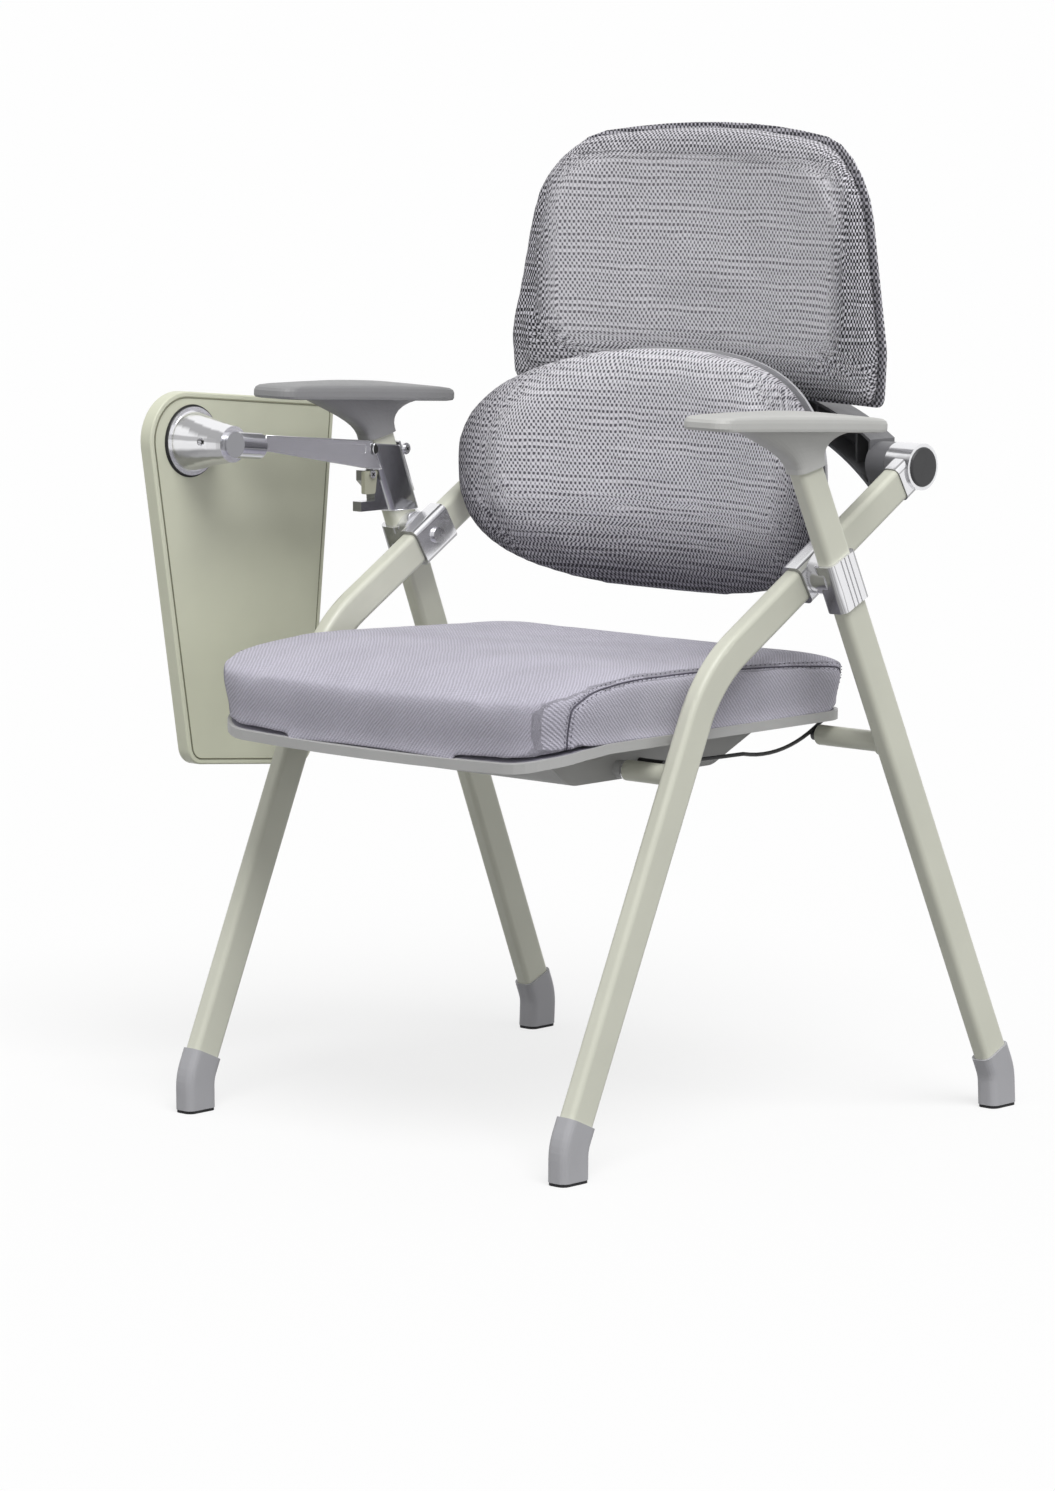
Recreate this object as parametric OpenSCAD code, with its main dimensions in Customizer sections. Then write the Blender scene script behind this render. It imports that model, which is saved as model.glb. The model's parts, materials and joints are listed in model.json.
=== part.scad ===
// Folding training chair with sprung back, armrests and a swing-up writing tablet.
// Millimetres and degrees. +X is the sitter's left, the chair faces -Y, the floor is z = 0.

/* [Front frame] */
// Distance from the middle plane to the fold pivot in the front tube
pivot_x = 256; // [225:1:290]
// Distance of the fold pivot behind the front feet
pivot_y = 340; // [320:1:360]
// Height of the fold pivot above the floor
pivot_z = 549; // [530:1:570]
// Width of the frame tubes, seen from the side
tube_w = 34; // [30:0.5:36]
// Thickness of the frame tubes, across the chair
tube_t = 18.5; // [16:0.5:20]
// Corner radius of the frame tubes
tube_r = 5.5; // [3:0.5:7]
// Wall of the frame tubes
tube_wall = 1.8; // [1.2:0.1:2.5]
// Rise of the upper front tube above horizontal, in degrees
arm_rise = 31; // [29:0.5:33]
// Lean of the front leg from vertical, in degrees
leg_lean = 24.1; // [22:0.5:26]
// Inward lean of the front frame's side plane, in degrees
front_splay = 0.54; // [0:0.1:1]
// Distance along the upper tube from the pivot to the bend's corner
pivot_to_bend = 174; // [165:1:185]
// Distance along the upper tube from the pivot to the back hub
pivot_to_hub = 176; // [170:1:190]
// Radius of the front tube's bend, at its middle line
bend_r = 150; // [120:5:180]

/* [Rear frame] */
// Distance from the middle plane to the rear tube, at the pivot's height
rear_x = 289.8; // [289:0.2:293]
// Rake of the rear tube from vertical, in degrees
rear_rake = 23.5; // [22:0.5:25]
// Outward splay of the rear legs, in degrees
rear_splay = 2.4; // [2:0.1:3]
// Height of the rear tube's top end above the pivot, along the tube
rear_top = 122; // [112:1:128]

/* [Feet] */
// Width of a foot across the chair
foot_t = 24.5; // [23:0.5:28]
// Length of a foot, front to back
foot_w = 38.5; // [38:0.5:44]
// Corner radius of a foot
foot_r = 8; // [4:0.5:10]
// Radius of the turn from a foot's block into its sleeve
foot_turn_r = 45; // [40:1:60]
// Height at which the foot's upright and the tube's line meet
foot_turn_z = 34; // [28:1:40]
// Length of a foot's sleeve along the tube
foot_sleeve = 15; // [10:1:30]
// Thickness of the rubber sole
sole_t = 3; // [2:0.5:5]
// Amount by which a sole stands in from the foot's sides
sole_inset = 0.8; // [0.5:0.1:2]

/* [Fold pivot] */
// Length of the aluminium clamps along the tubes
clamp_len = 50; // [44:1:60]
// Wall of the clamps on their wide faces
clamp_side = 3.4; // [2.5:0.1:4]
// Wall of the clamps on their narrow edges
clamp_edge = 3.6; // [2.5:0.1:5]
// Shift of the rear tube's clamps down from the pivot, along the tube
clamp_drop = 9; // [9:0.5:14]
// Radius of the pivot bolt
bolt_r = 5; // [4:0.5:6]
// Radius of the bolt's head
bolt_head_r = 8; // [7:0.5:10]
// Thickness of the bolt's head
bolt_head_t = 3; // [2:0.5:4]
// Radius of the round boss between the clamps
boss_r = 22; // [14:0.5:24]
// Grooves in a rear clamp's outer face
groove_n = 3; // [1:1:4]
// Width of one groove
groove_w = 3; // [1:0.5:5]
// Depth of the grooves
groove_d = 0.8; // [0.4:0.1:1.5]

/* [Seat pivots] */
// Radius of the stubs that stand inward from the legs
stub_r = 10; // [8:0.5:12]
// Radius of the seat's pivot pins
seat_pin_r = 4; // [3:0.5:6]
// Distance of the front stub behind the front feet
front_stub_y = 157; // [150:1:165]
// Height of the front stub
front_stub_z = 367; // [360:1:374]
// Distance from the middle plane to the front stub's inner end
front_stub_end = 184; // [183:1:188]
// Distance of the rear stub below the pivot, along the rear tube
rear_stub_drop = 187; // [180:1:195]
// Distance from the middle plane to the rear stub's inner end
rear_stub_end = 206; // [200:1:215]
// Radius of the collar where a stub meets its leg
stub_collar_r = 13; // [11:0.5:16]
// Thickness of that collar
stub_collar_t = 3; // [2:0.5:5]
// Radius of the rollers that carry the seat's guide rods
roller_r = 6; // [5:0.5:8]
// Width of those rollers
roller_w = 8; // [6:0.5:12]
// Radius of the guide rods
rod_r = 2; // [1.5:0.1:3]
// Degrees that the seat tips for each degree of fold
seat_ratio = 0.05; // [0.02:0.01:0.08]
// Largest fold of the frame, in degrees
fold_max = 32; // [10:1:33]

/* [Back hubs] */
// Radius of the aluminium hub at the top of the front tube
hub_r = 23; // [21:0.5:25]
// Width of the hub across the chair
hub_w = 31; // [28:0.5:34]
// Distance from the middle plane to the hub's inner face
hub_inner_x = 239; // [238:0.5:241]
// Reach of the hub's sleeve beyond its barrel
hub_lip = 8; // [5:0.5:14]
// Height of that sleeve's rim over the tube
hub_rim = 1.5; // [1:0.1:3]
// Length of the spigot inside the tube
spigot_len = 25; // [15:1:35]
// Radius of the plastic cap on the hub's outer end
cap_r = 19.5; // [17:0.5:20]
// Height of the cap
cap_h = 4; // [3:0.5:6]
// Radius of the pin that carries the back
back_pin_r = 8; // [6:0.5:10]
// Radius of the yoke's collar
collar_r = 22.5; // [20:0.5:23]
// Width of the yoke's collar
collar_w = 23.5; // [18:0.5:28]

/* [Backrest] */
// Radius of the upper back's curve, seen from above
back_r = 750; // [650:10:800]
// Distance of the upper back pad's middle behind the front feet
back_y = 488; // [486:1:490]
// Thickness of the upper back pad
back_t = 28; // [22:1:30]
// Height of the upper back's lower edge
back_low_z = 698; // [690:1:705]
// Height of the upper back's top
back_top_z = 968; // [940:1:980]
// Half width of the upper back at its lower edge
back_low_half = 239; // [232:1:242]
// Half width of the upper back at its widest
back_wide_half = 243; // [238:0.5:246]
// Half width at the upper back's top corners
back_top_half = 207; // [195:1:215]
// Drop of the top edge from its middle to the corners
back_top_drop = 31; // [15:1:35]
// Radius of the upper back's top corners, as a share of its height
back_top_r_share = 0.28; // [0.2:0.01:0.3]
// Radius of the upper back's lower corners
back_low_r = 12; // [8:1:20]
// Wall of the back's plastic shells
shell_t = 3; // [2.5:0.1:4]
// Width of shell that shows round the upper back pad
shell_rim = 2; // [1:0.5:4]
// Height of the arched yoke's band at its middle
yoke_h = 30; // [26:1:40]
// Extra radius of the yoke's upper edge, which makes the band taller at its ends
yoke_arch_more = 90; // [60:5:120]
// Depth of the yoke, front to back
yoke_d = 36; // [32:1:38]
// Radius of the yoke's arch
yoke_arch_r = 380; // [360:5:420]
// Wall of the yoke
yoke_wall = 3; // [2.5:0.5:4]
// Ribs in the hollow of the yoke
yoke_rib_n = 7; // [3:2:11]

/* [Lumbar rest] */
// Radius of the lumbar pad's curve, seen from above
lumbar_r = 490; // [440:5:520]
// Distance of the lumbar pad's middle behind the front feet
lumbar_y = 424; // [420:1:428]
// Thickness of the lumbar pad at its middle
lumbar_t = 46; // [40:1:48]
// Half width of the lumbar pad
lumbar_half = 240; // [225:1:241]
// Height of the lumbar pad's widest line
lumbar_mid_z = 627; // [615:1:640]
// Height of the pad above that line
lumbar_up = 125; // [110:1:130]
// Height of the pad below that line
lumbar_down = 130; // [120:1:135]
// Width of the bracket that joins the lumbar rest to the yoke
bracket_w = 30; // [20:1:40]
// Height of that bracket
bracket_h = 16; // [12:1:18]
// Distance of each bracket from the middle plane
bracket_x = 62; // [50:1:80]

/* [Seat] */
// Half width of the seat cushion
seat_half = 240; // [220:1:241]
// Half depth of the seat cushion
seat_half_d = 225; // [215:1:230]
// Distance of the seat's middle behind the front feet
seat_y = 215; // [212:1:218]
// Radius of the seat's front corners, seen from above
seat_front_r = 60; // [40:1:90]
// Radius of the seat's rear corners, seen from above
seat_rear_r = 36; // [30:1:80]
// Forward bow of the seat's front edge
seat_bow = 10; // [0:1:15]
// Height of the cushion's underside
seat_low_z = 404.5; // [400:0.5:408]
// Height of the cushion's top seam behind its rolled front
seat_top_z = 466; // [460:1:472]
// Height of the crown over the seam
seat_crown = 7; // [3:0.5:12]
// Amount that the cushion's sides draw in at the bottom
seat_draw = 9; // [4:1:14]

/* [Seat pan] */
// Thickness of the plywood board under the cushion
board_t = 7; // [6:0.5:9]
// Thickness of the pan's rim
pan_rim_t = 9.5; // [9:0.5:14]
// Amount by which the pan stands in from the cushion
pan_inset = 8; // [7.5:0.5:12]
// Half width of the pan's belly
belly_half = 172; // [160:1:173]
// Height of the belly's underside
belly_low_z = 357; // [346:1:357]
// Wall of the pan
pan_wall = 3; // [2.5:0.5:4]
// Radius of the bosses that hold the seat's pivot pins
pan_boss_r = 9; // [8:0.5:12]

/* [Armrests] */
// Distance from the middle plane to an armrest's middle
arm_x = 287; // [285:0.5:290]
// Width of an armrest pad
arm_w = 56; // [48:1:56]
// Distance of an armrest's front end behind the front feet
arm_front_y = 141; // [138:1:150]
// Length of an armrest pad
arm_len = 250; // [230:1:260]
// Height of the pad's underside at its front end
arm_low_z = 697; // [694:1:700]
// Fall of the armrest towards the back, in degrees
arm_fall = 3.5; // [2:0.5:5]
// Thickness of the pad along its edge
arm_t = 13.5; // [11:0.5:16]
// Height of the pad's dome over that edge
arm_dome = 6; // [3:0.5:8]
// Corner radius of the pad, seen from above
arm_r = 15; // [10:1:22]
// Length of the stalk where it meets the pad
stalk_len = 150; // [130:1:165]
// Width of the stalk where it meets the pad
stalk_w = 42; // [36:1:46]
// Wall of the stalk's ring round the tube
stalk_wall = 3; // [2.5:0.5:4]
// Height of the stalk, along the tube
stalk_h = 37.5; // [36:0.5:38]

/* [Tablet] */
// Distance from the middle plane to the tablet's swing axis
arm_axis_x = 283; // [281:0.5:286]
// Distance of the tablet's turning point behind the front feet
turn_y = 108; // [104:1:109]
// Height of the tablet's turning point
turn_z = 652.5; // [648:0.5:656]
// Fall of the tablet arm towards the back, in degrees
tablet_fall = 5.7; // [4.5:0.1:6]
// Thickness of the writing board
tablet_t = 16; // [12:0.5:18]
// Distance from the swing axis to the board's inner face
tablet_out = 79; // [76:0.5:84]
// Top edge of the board over the turning point
tablet_up = 49; // [40:1:54]
// Lower edge of the board below the turning point
tablet_down = 326; // [290:1:340]
// Reach of the board's top corner ahead of the turning point
tablet_ahead = 70; // [60:1:80]
// Reach of the board behind the turning point
tablet_behind = 200; // [180:0.5:210]
// Distance of the board's lower front corner behind the turning point
tablet_foot = 27.5; // [10:0.5:50]
// Radius of the board's top front corner
tablet_nose_r = 48; // [30:1:55]
// Radius of the board's lower corners
tablet_r = 20; // [12:1:26]
// Radius of the board's top rear corner
tablet_back_r = 16; // [10:1:24]
// Width of the edge band, seen on the board's face
band_t = 6; // [3:0.5:8]
// Radius of the cone where it meets the board
cone_base_r = 34.5; // [30:0.5:38]
// Radius of the cone at its small end
cone_tip_r = 18.3; // [16:0.1:20]
// Thickness of the cone's flange
flange_t = 3; // [2:0.5:5]
// Radius of the knuckle's barrel
knuckle_r = 13; // [12:0.5:15]
// Radius of the spindle that the knuckle swings on
spindle_r = 6; // [5:0.5:7]
// Radius of the pin that the board turns on
turn_pin_r = 8; // [6:0.5:9]
// Width of the tablet's arm, across the chair
beam_w = 15; // [12:0.5:18]
// Height of the tablet's arm over its axis
beam_up = 11; // [9:0.5:12]
// Depth of the arm below its axis at the front
beam_nose = 4; // [3:0.5:8]
// Depth of the arm below its axis at the back
beam_root = 17; // [12:0.5:20]
// Wall of the casting round the rear tube
casting_wall = 3; // [2.5:0.1:4]
// Height of the casting's lower end
casting_low_z = 573; // [572:1:580]

/* [Hidden] */
$fn = 48;

// Clearance between pieces that are fixed to each other
seat_gap = 0.1;
// Radial clearance of a pin that turns in its bore
run_gap = 0.06;
// Gap between faces that move past each other
face_gap = 0.35;
// Overrun of a cut beyond the face that it leaves
over = 2;

LEFT = 1;
RIGHT = -1;
// Places in the front frame's side plane, measured from the pivot
bend_y = -pivot_to_bend * cos(arm_rise);
bend_z = -pivot_to_bend * sin(arm_rise);
bend_angle = 90 - leg_lean - arm_rise;
bend_reach = bend_r * tan(bend_angle / 2);
foot_reach_front = foot_turn_r * tan(leg_lean / 2);
foot_reach_rear = foot_turn_r * tan(rear_rake / 2);
leg_len = (bend_z + pivot_z - foot_turn_z) / cos(leg_lean);
front_foot_y = bend_y - leg_len * sin(leg_lean);
rear_leg_len = (pivot_z - foot_turn_z) / cos(rear_rake);
rear_foot_y = rear_leg_len * sin(rear_rake);
hub_y = pivot_y + pivot_to_hub * cos(arm_rise);
hub_z = pivot_z + pivot_to_hub * sin(arm_rise);
arm_end = pivot_to_hub - hub_r - hub_lip;
front_foot_x = pivot_x - pivot_z * tan(front_splay);
rear_foot_x = rear_x + pivot_z * tan(rear_splay);
rear_stub_y = pivot_y + rear_stub_drop * sin(rear_rake);
rear_stub_z = pivot_z - rear_stub_drop * cos(rear_rake);

// Widths of the clamps and the faces that they show each other
clamp_t = tube_t + 2 * clamp_side;
clamp_w = tube_w + 2 * clamp_edge;
inner_clamp_face = pivot_x + clamp_t / 2;
boss_face = inner_clamp_face + face_gap;
bolt_end = rear_x - tube_t / 2 - seat_gap - face_gap;

// The vertical axis of the upper back's curve and the radii of its layers
back_axis_y = back_y - back_r;
shell_in_r = back_r + back_t / 2 + 0.3 * face_gap;
shell_out_r = shell_in_r + shell_t;
yoke_in_r = shell_out_r + seat_gap;
yoke_out_r = yoke_in_r + yoke_d;
collar_out_x = hub_inner_x - face_gap;
collar_in_x = collar_out_x - collar_w;
arch_z = hub_z - collar_r - sqrt(yoke_arch_r * yoke_arch_r - collar_in_x * collar_in_x);
lumbar_axis_y = lumbar_y - lumbar_r;
lumbar_in_r = lumbar_r + lumbar_t / 2 + 0.3 * face_gap;
lumbar_out_r = lumbar_in_r + shell_t;

// Where the seat's front starts to droop, below and on top, and by what share of its depth
seat_knee_y = 85;
seat_droop_share = 0.42;
top_knee_y = 140;
top_droop_share = 0.19;
top_fall_share = 0.045;

// The whole chair's middle, which is set over the origin
left_reach = rear_foot_x + foot_t / 2;
right_reach = arm_axis_x + tablet_out + tablet_t;
front_reach = seat_half_d + seat_bow - seat_y;
back_reach = pivot_y + rear_foot_y + foot_w / 2;
middle_x = (left_reach - right_reach) / 2;
middle_y = (back_reach - front_reach) / 2;

// Colours
TUBE = [0.77, 0.77, 0.72];
ALUMINIUM = [0.82, 0.82, 0.84];
PLASTIC = [0.58, 0.58, 0.60];
SAGE = [0.69, 0.695, 0.63];
MESH = [0.67, 0.66, 0.72];
DARK_MESH = [0.36, 0.36, 0.40];
STEEL = [0.75, 0.75, 0.77];
BLACK = [0.10, 0.10, 0.11];

// Helper shapes

// A rectangle with round corners, centred, as circles and squares
module round_rect(w, d, r) {
    square([w - 2 * r, d], center = true);
    square([w, d - 2 * r], center = true);
    for (sx = [-1, 1], sy = [-1, 1])
        translate([sx * (w / 2 - r), sy * (d / 2 - r)])
            circle(r);
}

// Turns a drawing of the side view, with y to the right and z up, into the YZ plane
module side_view() rotate([90, 0, 90]) children();

// Turns a drawing of the front view, with x to the right and z up, into the XZ plane
module front_view() rotate([90, 0, 0]) children();

module mirrored(side) mirror([side < 0 ? 1 : 0, 0, 0]) children();

// Moves a finished piece from the chair's own place to the middle over the origin
module placed() translate([-middle_x, -middle_y, 0]) children();

module piece(side) placed() mirrored(side) children();

// The side plane of the front frame, with the pivot at its origin
module front_plane()
    translate([pivot_x, pivot_y, pivot_z]) rotate([0, front_splay, 0]) children();

// The side plane of the rear frame, with the pivot's level at its origin
module rear_plane()
    translate([rear_x, pivot_y, pivot_z]) rotate([0, -rear_splay, 0]) children();

// Along the upper front tube, with +Z towards the hub
module along_arm() front_plane() rotate([arm_rise - 90, 0, 0]) children();

// Along the rear tube, with +Z upwards
module along_rear() rear_plane() rotate([rear_rake, 0, 0]) children();

// A cylinder along +X from x0 to x1 at the given y and z
module x_rod(x0, x1, y, z, r)
    translate([x0, y, z]) rotate([0, 90, 0]) cylinder(h = x1 - x0, r = r);

// Unit vector of a plane vector
function unit(v) = v / norm(v);

// Flat directions from corner i of a list to its neighbours
function to_last(c, i) =
    let (n = len(c), a = c[(i + n - 1) % n]) unit([a.x - c[i].x, a.y - c[i].y]);
function to_next(c, i) =
    let (n = len(c), b = c[(i + 1) % n]) unit([b.x - c[i].x, b.y - c[i].y]);

// Points of one rounded corner; each corner is [x, y, radius]
function corner(c, i, n) =
    let (u = to_last(c, i), v = to_next(c, i), half = acos(u * v) / 2, r = c[i].z,
        p = [c[i].x, c[i].y], m = p + unit(u + v) * r / sin(half),
        s = p + u * r / tan(half) - m, e = p + v * r / tan(half) - m,
        a0 = atan2(s.y, s.x), turn = atan2(s.x * e.y - s.y * e.x, s * e))
    [for (k = [0 : n]) m + r * [cos(a0 + turn * k / n), sin(a0 + turn * k / n)]];

// A convex outline with round corners
function rounded(c, n = 6) = [for (i = [0 : len(c) - 1]) each corner(c, i, n)];

// The same corners moved in by d, with smaller radii
function inset(c, d) = [for (i = [0 : len(c) - 1])
    let (u = to_last(c, i), v = to_next(c, i), q = (u + v) * d / sin(acos(u * v)))
    [c[i].x + q.x, c[i].y + q.y, c[i].z - d]];

// Adds points along the edges that are longer than step
function divided(p, step) = [for (i = [0 : len(p) - 1])
    let (a = p[i], b = p[(i + 1) % len(p)], n = max(1, ceil(norm(b - a) / step)))
    each [for (k = [0 : n - 1]) a + (b - a) * k / n]];

// A power that keeps the sign, for superellipses
function signed_pow(v, e) = sign(v) * pow(abs(v), e);

// A closed skin over rings of equally many points, with a fan at each end
module skin(rings) {
    n = len(rings[0]);
    m = len(rings);
    first = [for (k = [0 : 2]) mean([for (p = rings[0]) p[k]])];
    last = [for (k = [0 : 2]) mean([for (p = rings[m - 1]) p[k]])];
    points = concat([for (r = rings) each r], [first, last]);
    sides = [for (j = [0 : m - 2], i = [0 : n - 1])
        let (a = j * n + i, b = j * n + (i + 1) % n)
        each [[a, a + n, b + n], [a, b + n, b]]];
    start = [for (i = [0 : n - 1]) [m * n, i, (i + 1) % n]];
    finish = [for (i = [0 : n - 1]) [m * n + 1, (m - 1) * n + (i + 1) % n, (m - 1) * n + i]];
    polyhedron(points, concat(sides, start, finish));
}
function mean(v) = sum(v, len(v) - 1) / len(v);
function sum(v, i) = i < 0 ? 0 : v[i] + sum(v, i - 1);

// Front frame

module tube_outline() round_rect(tube_t, tube_w, tube_r);

module tube_hollow()
    round_rect(tube_t - 2 * tube_wall, tube_w - 2 * tube_wall, tube_r - tube_wall);

module tube_ring() difference() {
    tube_outline();
    tube_hollow();
}

// The space that a fixed sleeve leaves for the tube
module tube_space()
    round_rect(tube_t + 2 * seat_gap, tube_w + 2 * seat_gap, tube_r + seat_gap);

// The bend between leg and upper tube, made from the tube's section
module bend()
    side_view()
        translate([bend_y + bend_reach * cos(arm_rise) + bend_r * sin(arm_rise),
            bend_z + bend_reach * sin(arm_rise) - bend_r * cos(arm_rise)])
            rotate(90 + arm_rise)
                rotate_extrude(angle = bend_angle, $fn = 180)
                    translate([bend_r, 0]) rotate(90) children();

module leg_line()
    translate([0, bend_y, bend_z]) rotate([-leg_lean, 0, 0]) children();

module front_tube(side) color(TUBE) piece(side) difference() {
    union() {
        along_arm() translate([0, 0, bend_reach - pivot_to_bend])
            linear_extrude(arm_end - seat_gap + pivot_to_bend - bend_reach) tube_ring();
        front_plane() bend() tube_ring();
        front_plane() leg_line() translate([0, 0, foot_reach_front + seat_gap - leg_len])
            linear_extrude(leg_len - foot_reach_front - seat_gap - bend_reach) tube_ring();
    }
    x_rod(pivot_x - tube_t, pivot_x + tube_t, pivot_y, pivot_z, bolt_r + seat_gap);
}

// The foot's outline, seen from above
foot_outline = rounded([[-foot_t / 2, -foot_w / 2, foot_r], [foot_t / 2, -foot_w / 2, foot_r],
    [foot_t / 2, foot_w / 2, foot_r], [-foot_t / 2, foot_w / 2, foot_r]], 5);
foot_bend_steps = 4;

// One ring of a foot at angle a of its bend, run on by reach along the tube's line; ahead
// is 1 for a tube that leans back and -1 for one that leans forward
function foot_ring(a, ahead, start, run) = [for (p = foot_outline)
    let (r = foot_turn_r - ahead * p.y)
    [p.x, ahead * (foot_turn_r - r * cos(a) + run * sin(a)), r * sin(a) + run * cos(a) - start]];

// A foot's origin is where its upright's line and the tube's line meet
module foot_form(lean, ahead) {
    reach = foot_turn_r * tan(lean / 2);
    difference() {
        skin(concat([foot_ring(0, ahead, reach, reach - foot_turn_z - over)],
            [for (i = [0 : foot_bend_steps])
                foot_ring(i * lean / foot_bend_steps, ahead, reach, 0)],
            [foot_ring(lean, ahead, reach, foot_sleeve)]));
        rotate([-ahead * lean, 0, 0]) translate([0, 0, reach])
            linear_extrude(foot_sleeve + over) tube_space();
    }
}

// Everything at the soles' level and below
module below_feet()
    translate([0, -pivot_z, -foot_turn_z])
        cube([2 * pivot_z, 3 * pivot_z, foot_turn_z + sole_t]);

module front_foot(side) color(PLASTIC) piece(side) difference() {
    front_plane() translate([0, front_foot_y, foot_turn_z - pivot_z]) foot_form(leg_lean, 1);
    below_feet();
}

module rear_foot(side) color(PLASTIC) piece(side) difference() {
    rear_plane() translate([0, rear_foot_y, foot_turn_z - pivot_z]) foot_form(rear_rake, -1);
    below_feet();
}

// A pair of soles at the given places
module soles(x, y) color(BLACK) for (side = [LEFT, RIGHT])
    piece(side) translate([x, y, 0]) linear_extrude(sole_t)
        round_rect(foot_t - 2 * sole_inset, foot_w - 2 * sole_inset, foot_r - sole_inset);

module front_soles() soles(front_foot_x, pivot_y + front_foot_y);
module rear_soles() soles(rear_foot_x, pivot_y + rear_foot_y);

module front_stub(side) color(TUBE) piece(side) difference() {
    union() {
        x_rod(front_stub_end, pivot_x, front_stub_y, front_stub_z, stub_r);
        x_rod(pivot_x - tube_t / 2 - 2 * stub_collar_t, pivot_x, front_stub_y, front_stub_z,
            stub_collar_r);
    }
    front_plane() leg_line() translate([0, 0, -leg_len]) linear_extrude(leg_len) tube_space();
    front_plane() leg_line() translate([tube_t / 2, -pivot_z / 2, -leg_len])
        cube([tube_t, pivot_z, leg_len]);
    x_rod(front_stub_end - over, front_stub_end + stub_r, front_stub_y, front_stub_z,
        seat_pin_r + seat_gap);
}

module inner_clamp(side) color(ALUMINIUM) piece(side) difference() {
    along_arm() translate([0, 0, -clamp_len / 2]) difference() {
        linear_extrude(clamp_len) round_rect(clamp_t, clamp_w, tube_r + clamp_side / 2);
        translate([0, 0, -over]) linear_extrude(clamp_len + 2 * over) tube_space();
    }
    x_rod(pivot_x - clamp_t, pivot_x + clamp_t, pivot_y, pivot_z, bolt_r + seat_gap);
}

module pivot_bolts() color(STEEL) for (side = [LEFT, RIGHT]) piece(side) {
    x_rod(pivot_x - clamp_t / 2 - bolt_head_t - seat_gap, pivot_x - clamp_t / 2 - seat_gap,
        pivot_y, pivot_z, bolt_head_r);
    x_rod(pivot_x - clamp_t / 2 - bolt_head_t, bolt_end, pivot_y, pivot_z, bolt_r);
}

module hub(side) color(ALUMINIUM) piece(side) difference() {
    union() {
        x_rod(hub_inner_x, hub_inner_x + hub_w, hub_y, hub_z, hub_r);
        along_arm() translate([0, 0, arm_end])
            linear_extrude(hub_lip + hub_r / 2)
                round_rect(tube_t + 2 * hub_rim, tube_w + 2 * hub_rim, tube_r + hub_rim);
        along_arm() translate([0, 0, arm_end - spigot_len])
            linear_extrude(spigot_len + over)
                round_rect(tube_t - 2 * tube_wall - 2 * seat_gap,
                    tube_w - 2 * tube_wall - 2 * seat_gap, tube_r - tube_wall - seat_gap);
    }
    x_rod(hub_inner_x - over, hub_inner_x + 0.7 * hub_w, hub_y, hub_z, back_pin_r + seat_gap);
    x_rod(hub_inner_x + hub_w - cap_h / 2, hub_inner_x + hub_w + over, hub_y, hub_z,
        cap_r + seat_gap);
}

// The domed cap, with a rounded rim
module hub_caps() color([0.29, 0.29, 0.30]) for (side = [LEFT, RIGHT]) piece(side)
    translate([hub_inner_x + hub_w - cap_h / 2 + seat_gap, hub_y, hub_z]) rotate([0, 90, 0])
        rotate_extrude() {
            square([cap_r, cap_h / 2]);
            square([cap_r - cap_h / 2, cap_h]);
            translate([cap_r - cap_h / 2, cap_h / 2]) intersection() {
                circle(cap_h / 2);
                square(cap_h);
            }
        }

module back_pivot_pins() color(STEEL) for (side = [LEFT, RIGHT]) piece(side)
    x_rod(collar_in_x + yoke_wall, hub_inner_x + 0.7 * hub_w - seat_gap, hub_y, hub_z,
        back_pin_r);

module seat_pivot_pins() color(STEEL) for (side = [LEFT, RIGHT]) piece(side) {
    x_rod(belly_half - stub_r, front_stub_end + stub_r - seat_gap, front_stub_y, front_stub_z,
        seat_pin_r);
    x_rod(front_stub_end - seat_gap - stub_collar_t / 2, front_stub_end - seat_gap,
        front_stub_y, front_stub_z, stub_r);
}

// Rear frame

module rear_tube(side) color(TUBE) piece(side)
    along_rear() translate([0, 0, foot_reach_rear + seat_gap - rear_leg_len])
        linear_extrude(rear_leg_len - foot_reach_rear - seat_gap + rear_top) tube_ring();

module rear_stub(side) color(TUBE) piece(side) difference() {
    union() {
        x_rod(rear_stub_end, rear_x, rear_stub_y, rear_stub_z, stub_r);
        x_rod(rear_x - 2 * stub_collar_t, rear_x, rear_stub_y, rear_stub_z, stub_collar_r);
    }
    along_rear() translate([0, 0, -rear_leg_len]) linear_extrude(rear_leg_len) tube_space();
    along_rear() translate([tube_t / 2, -pivot_z / 2, -rear_leg_len])
        cube([tube_t, pivot_z, rear_leg_len]);
    x_rod(rear_stub_end - over, rear_stub_end + stub_r, rear_stub_y, rear_stub_z,
        seat_pin_r + seat_gap);
}

// The clamp on the rear tube, with the round boss that turns on the pivot bolt
module outer_clamp(side) color(ALUMINIUM) piece(side) difference() {
    union() {
        along_rear() translate([0, 0, -clamp_len / 2 - clamp_drop])
            linear_extrude(clamp_len) clamp_outline();
        x_rod(boss_face, rear_x, pivot_y, pivot_z, boss_r);
    }
    along_rear() translate([0, 0, -clamp_len]) linear_extrude(2 * clamp_len) tube_space();
    x_rod(boss_face - over, rear_x, pivot_y, pivot_z, bolt_r + run_gap);
}

// The clamp's section, with grooves along its outer face
module clamp_outline() difference() {
    round_rect(clamp_t, clamp_w, tube_r + clamp_side / 2);
    for (i = [0 : groove_n - 1])
        translate([clamp_t / 2, (i - (groove_n - 1) / 2) * 2 * groove_w])
            square([2 * groove_d, groove_w], center = true);
}

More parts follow.
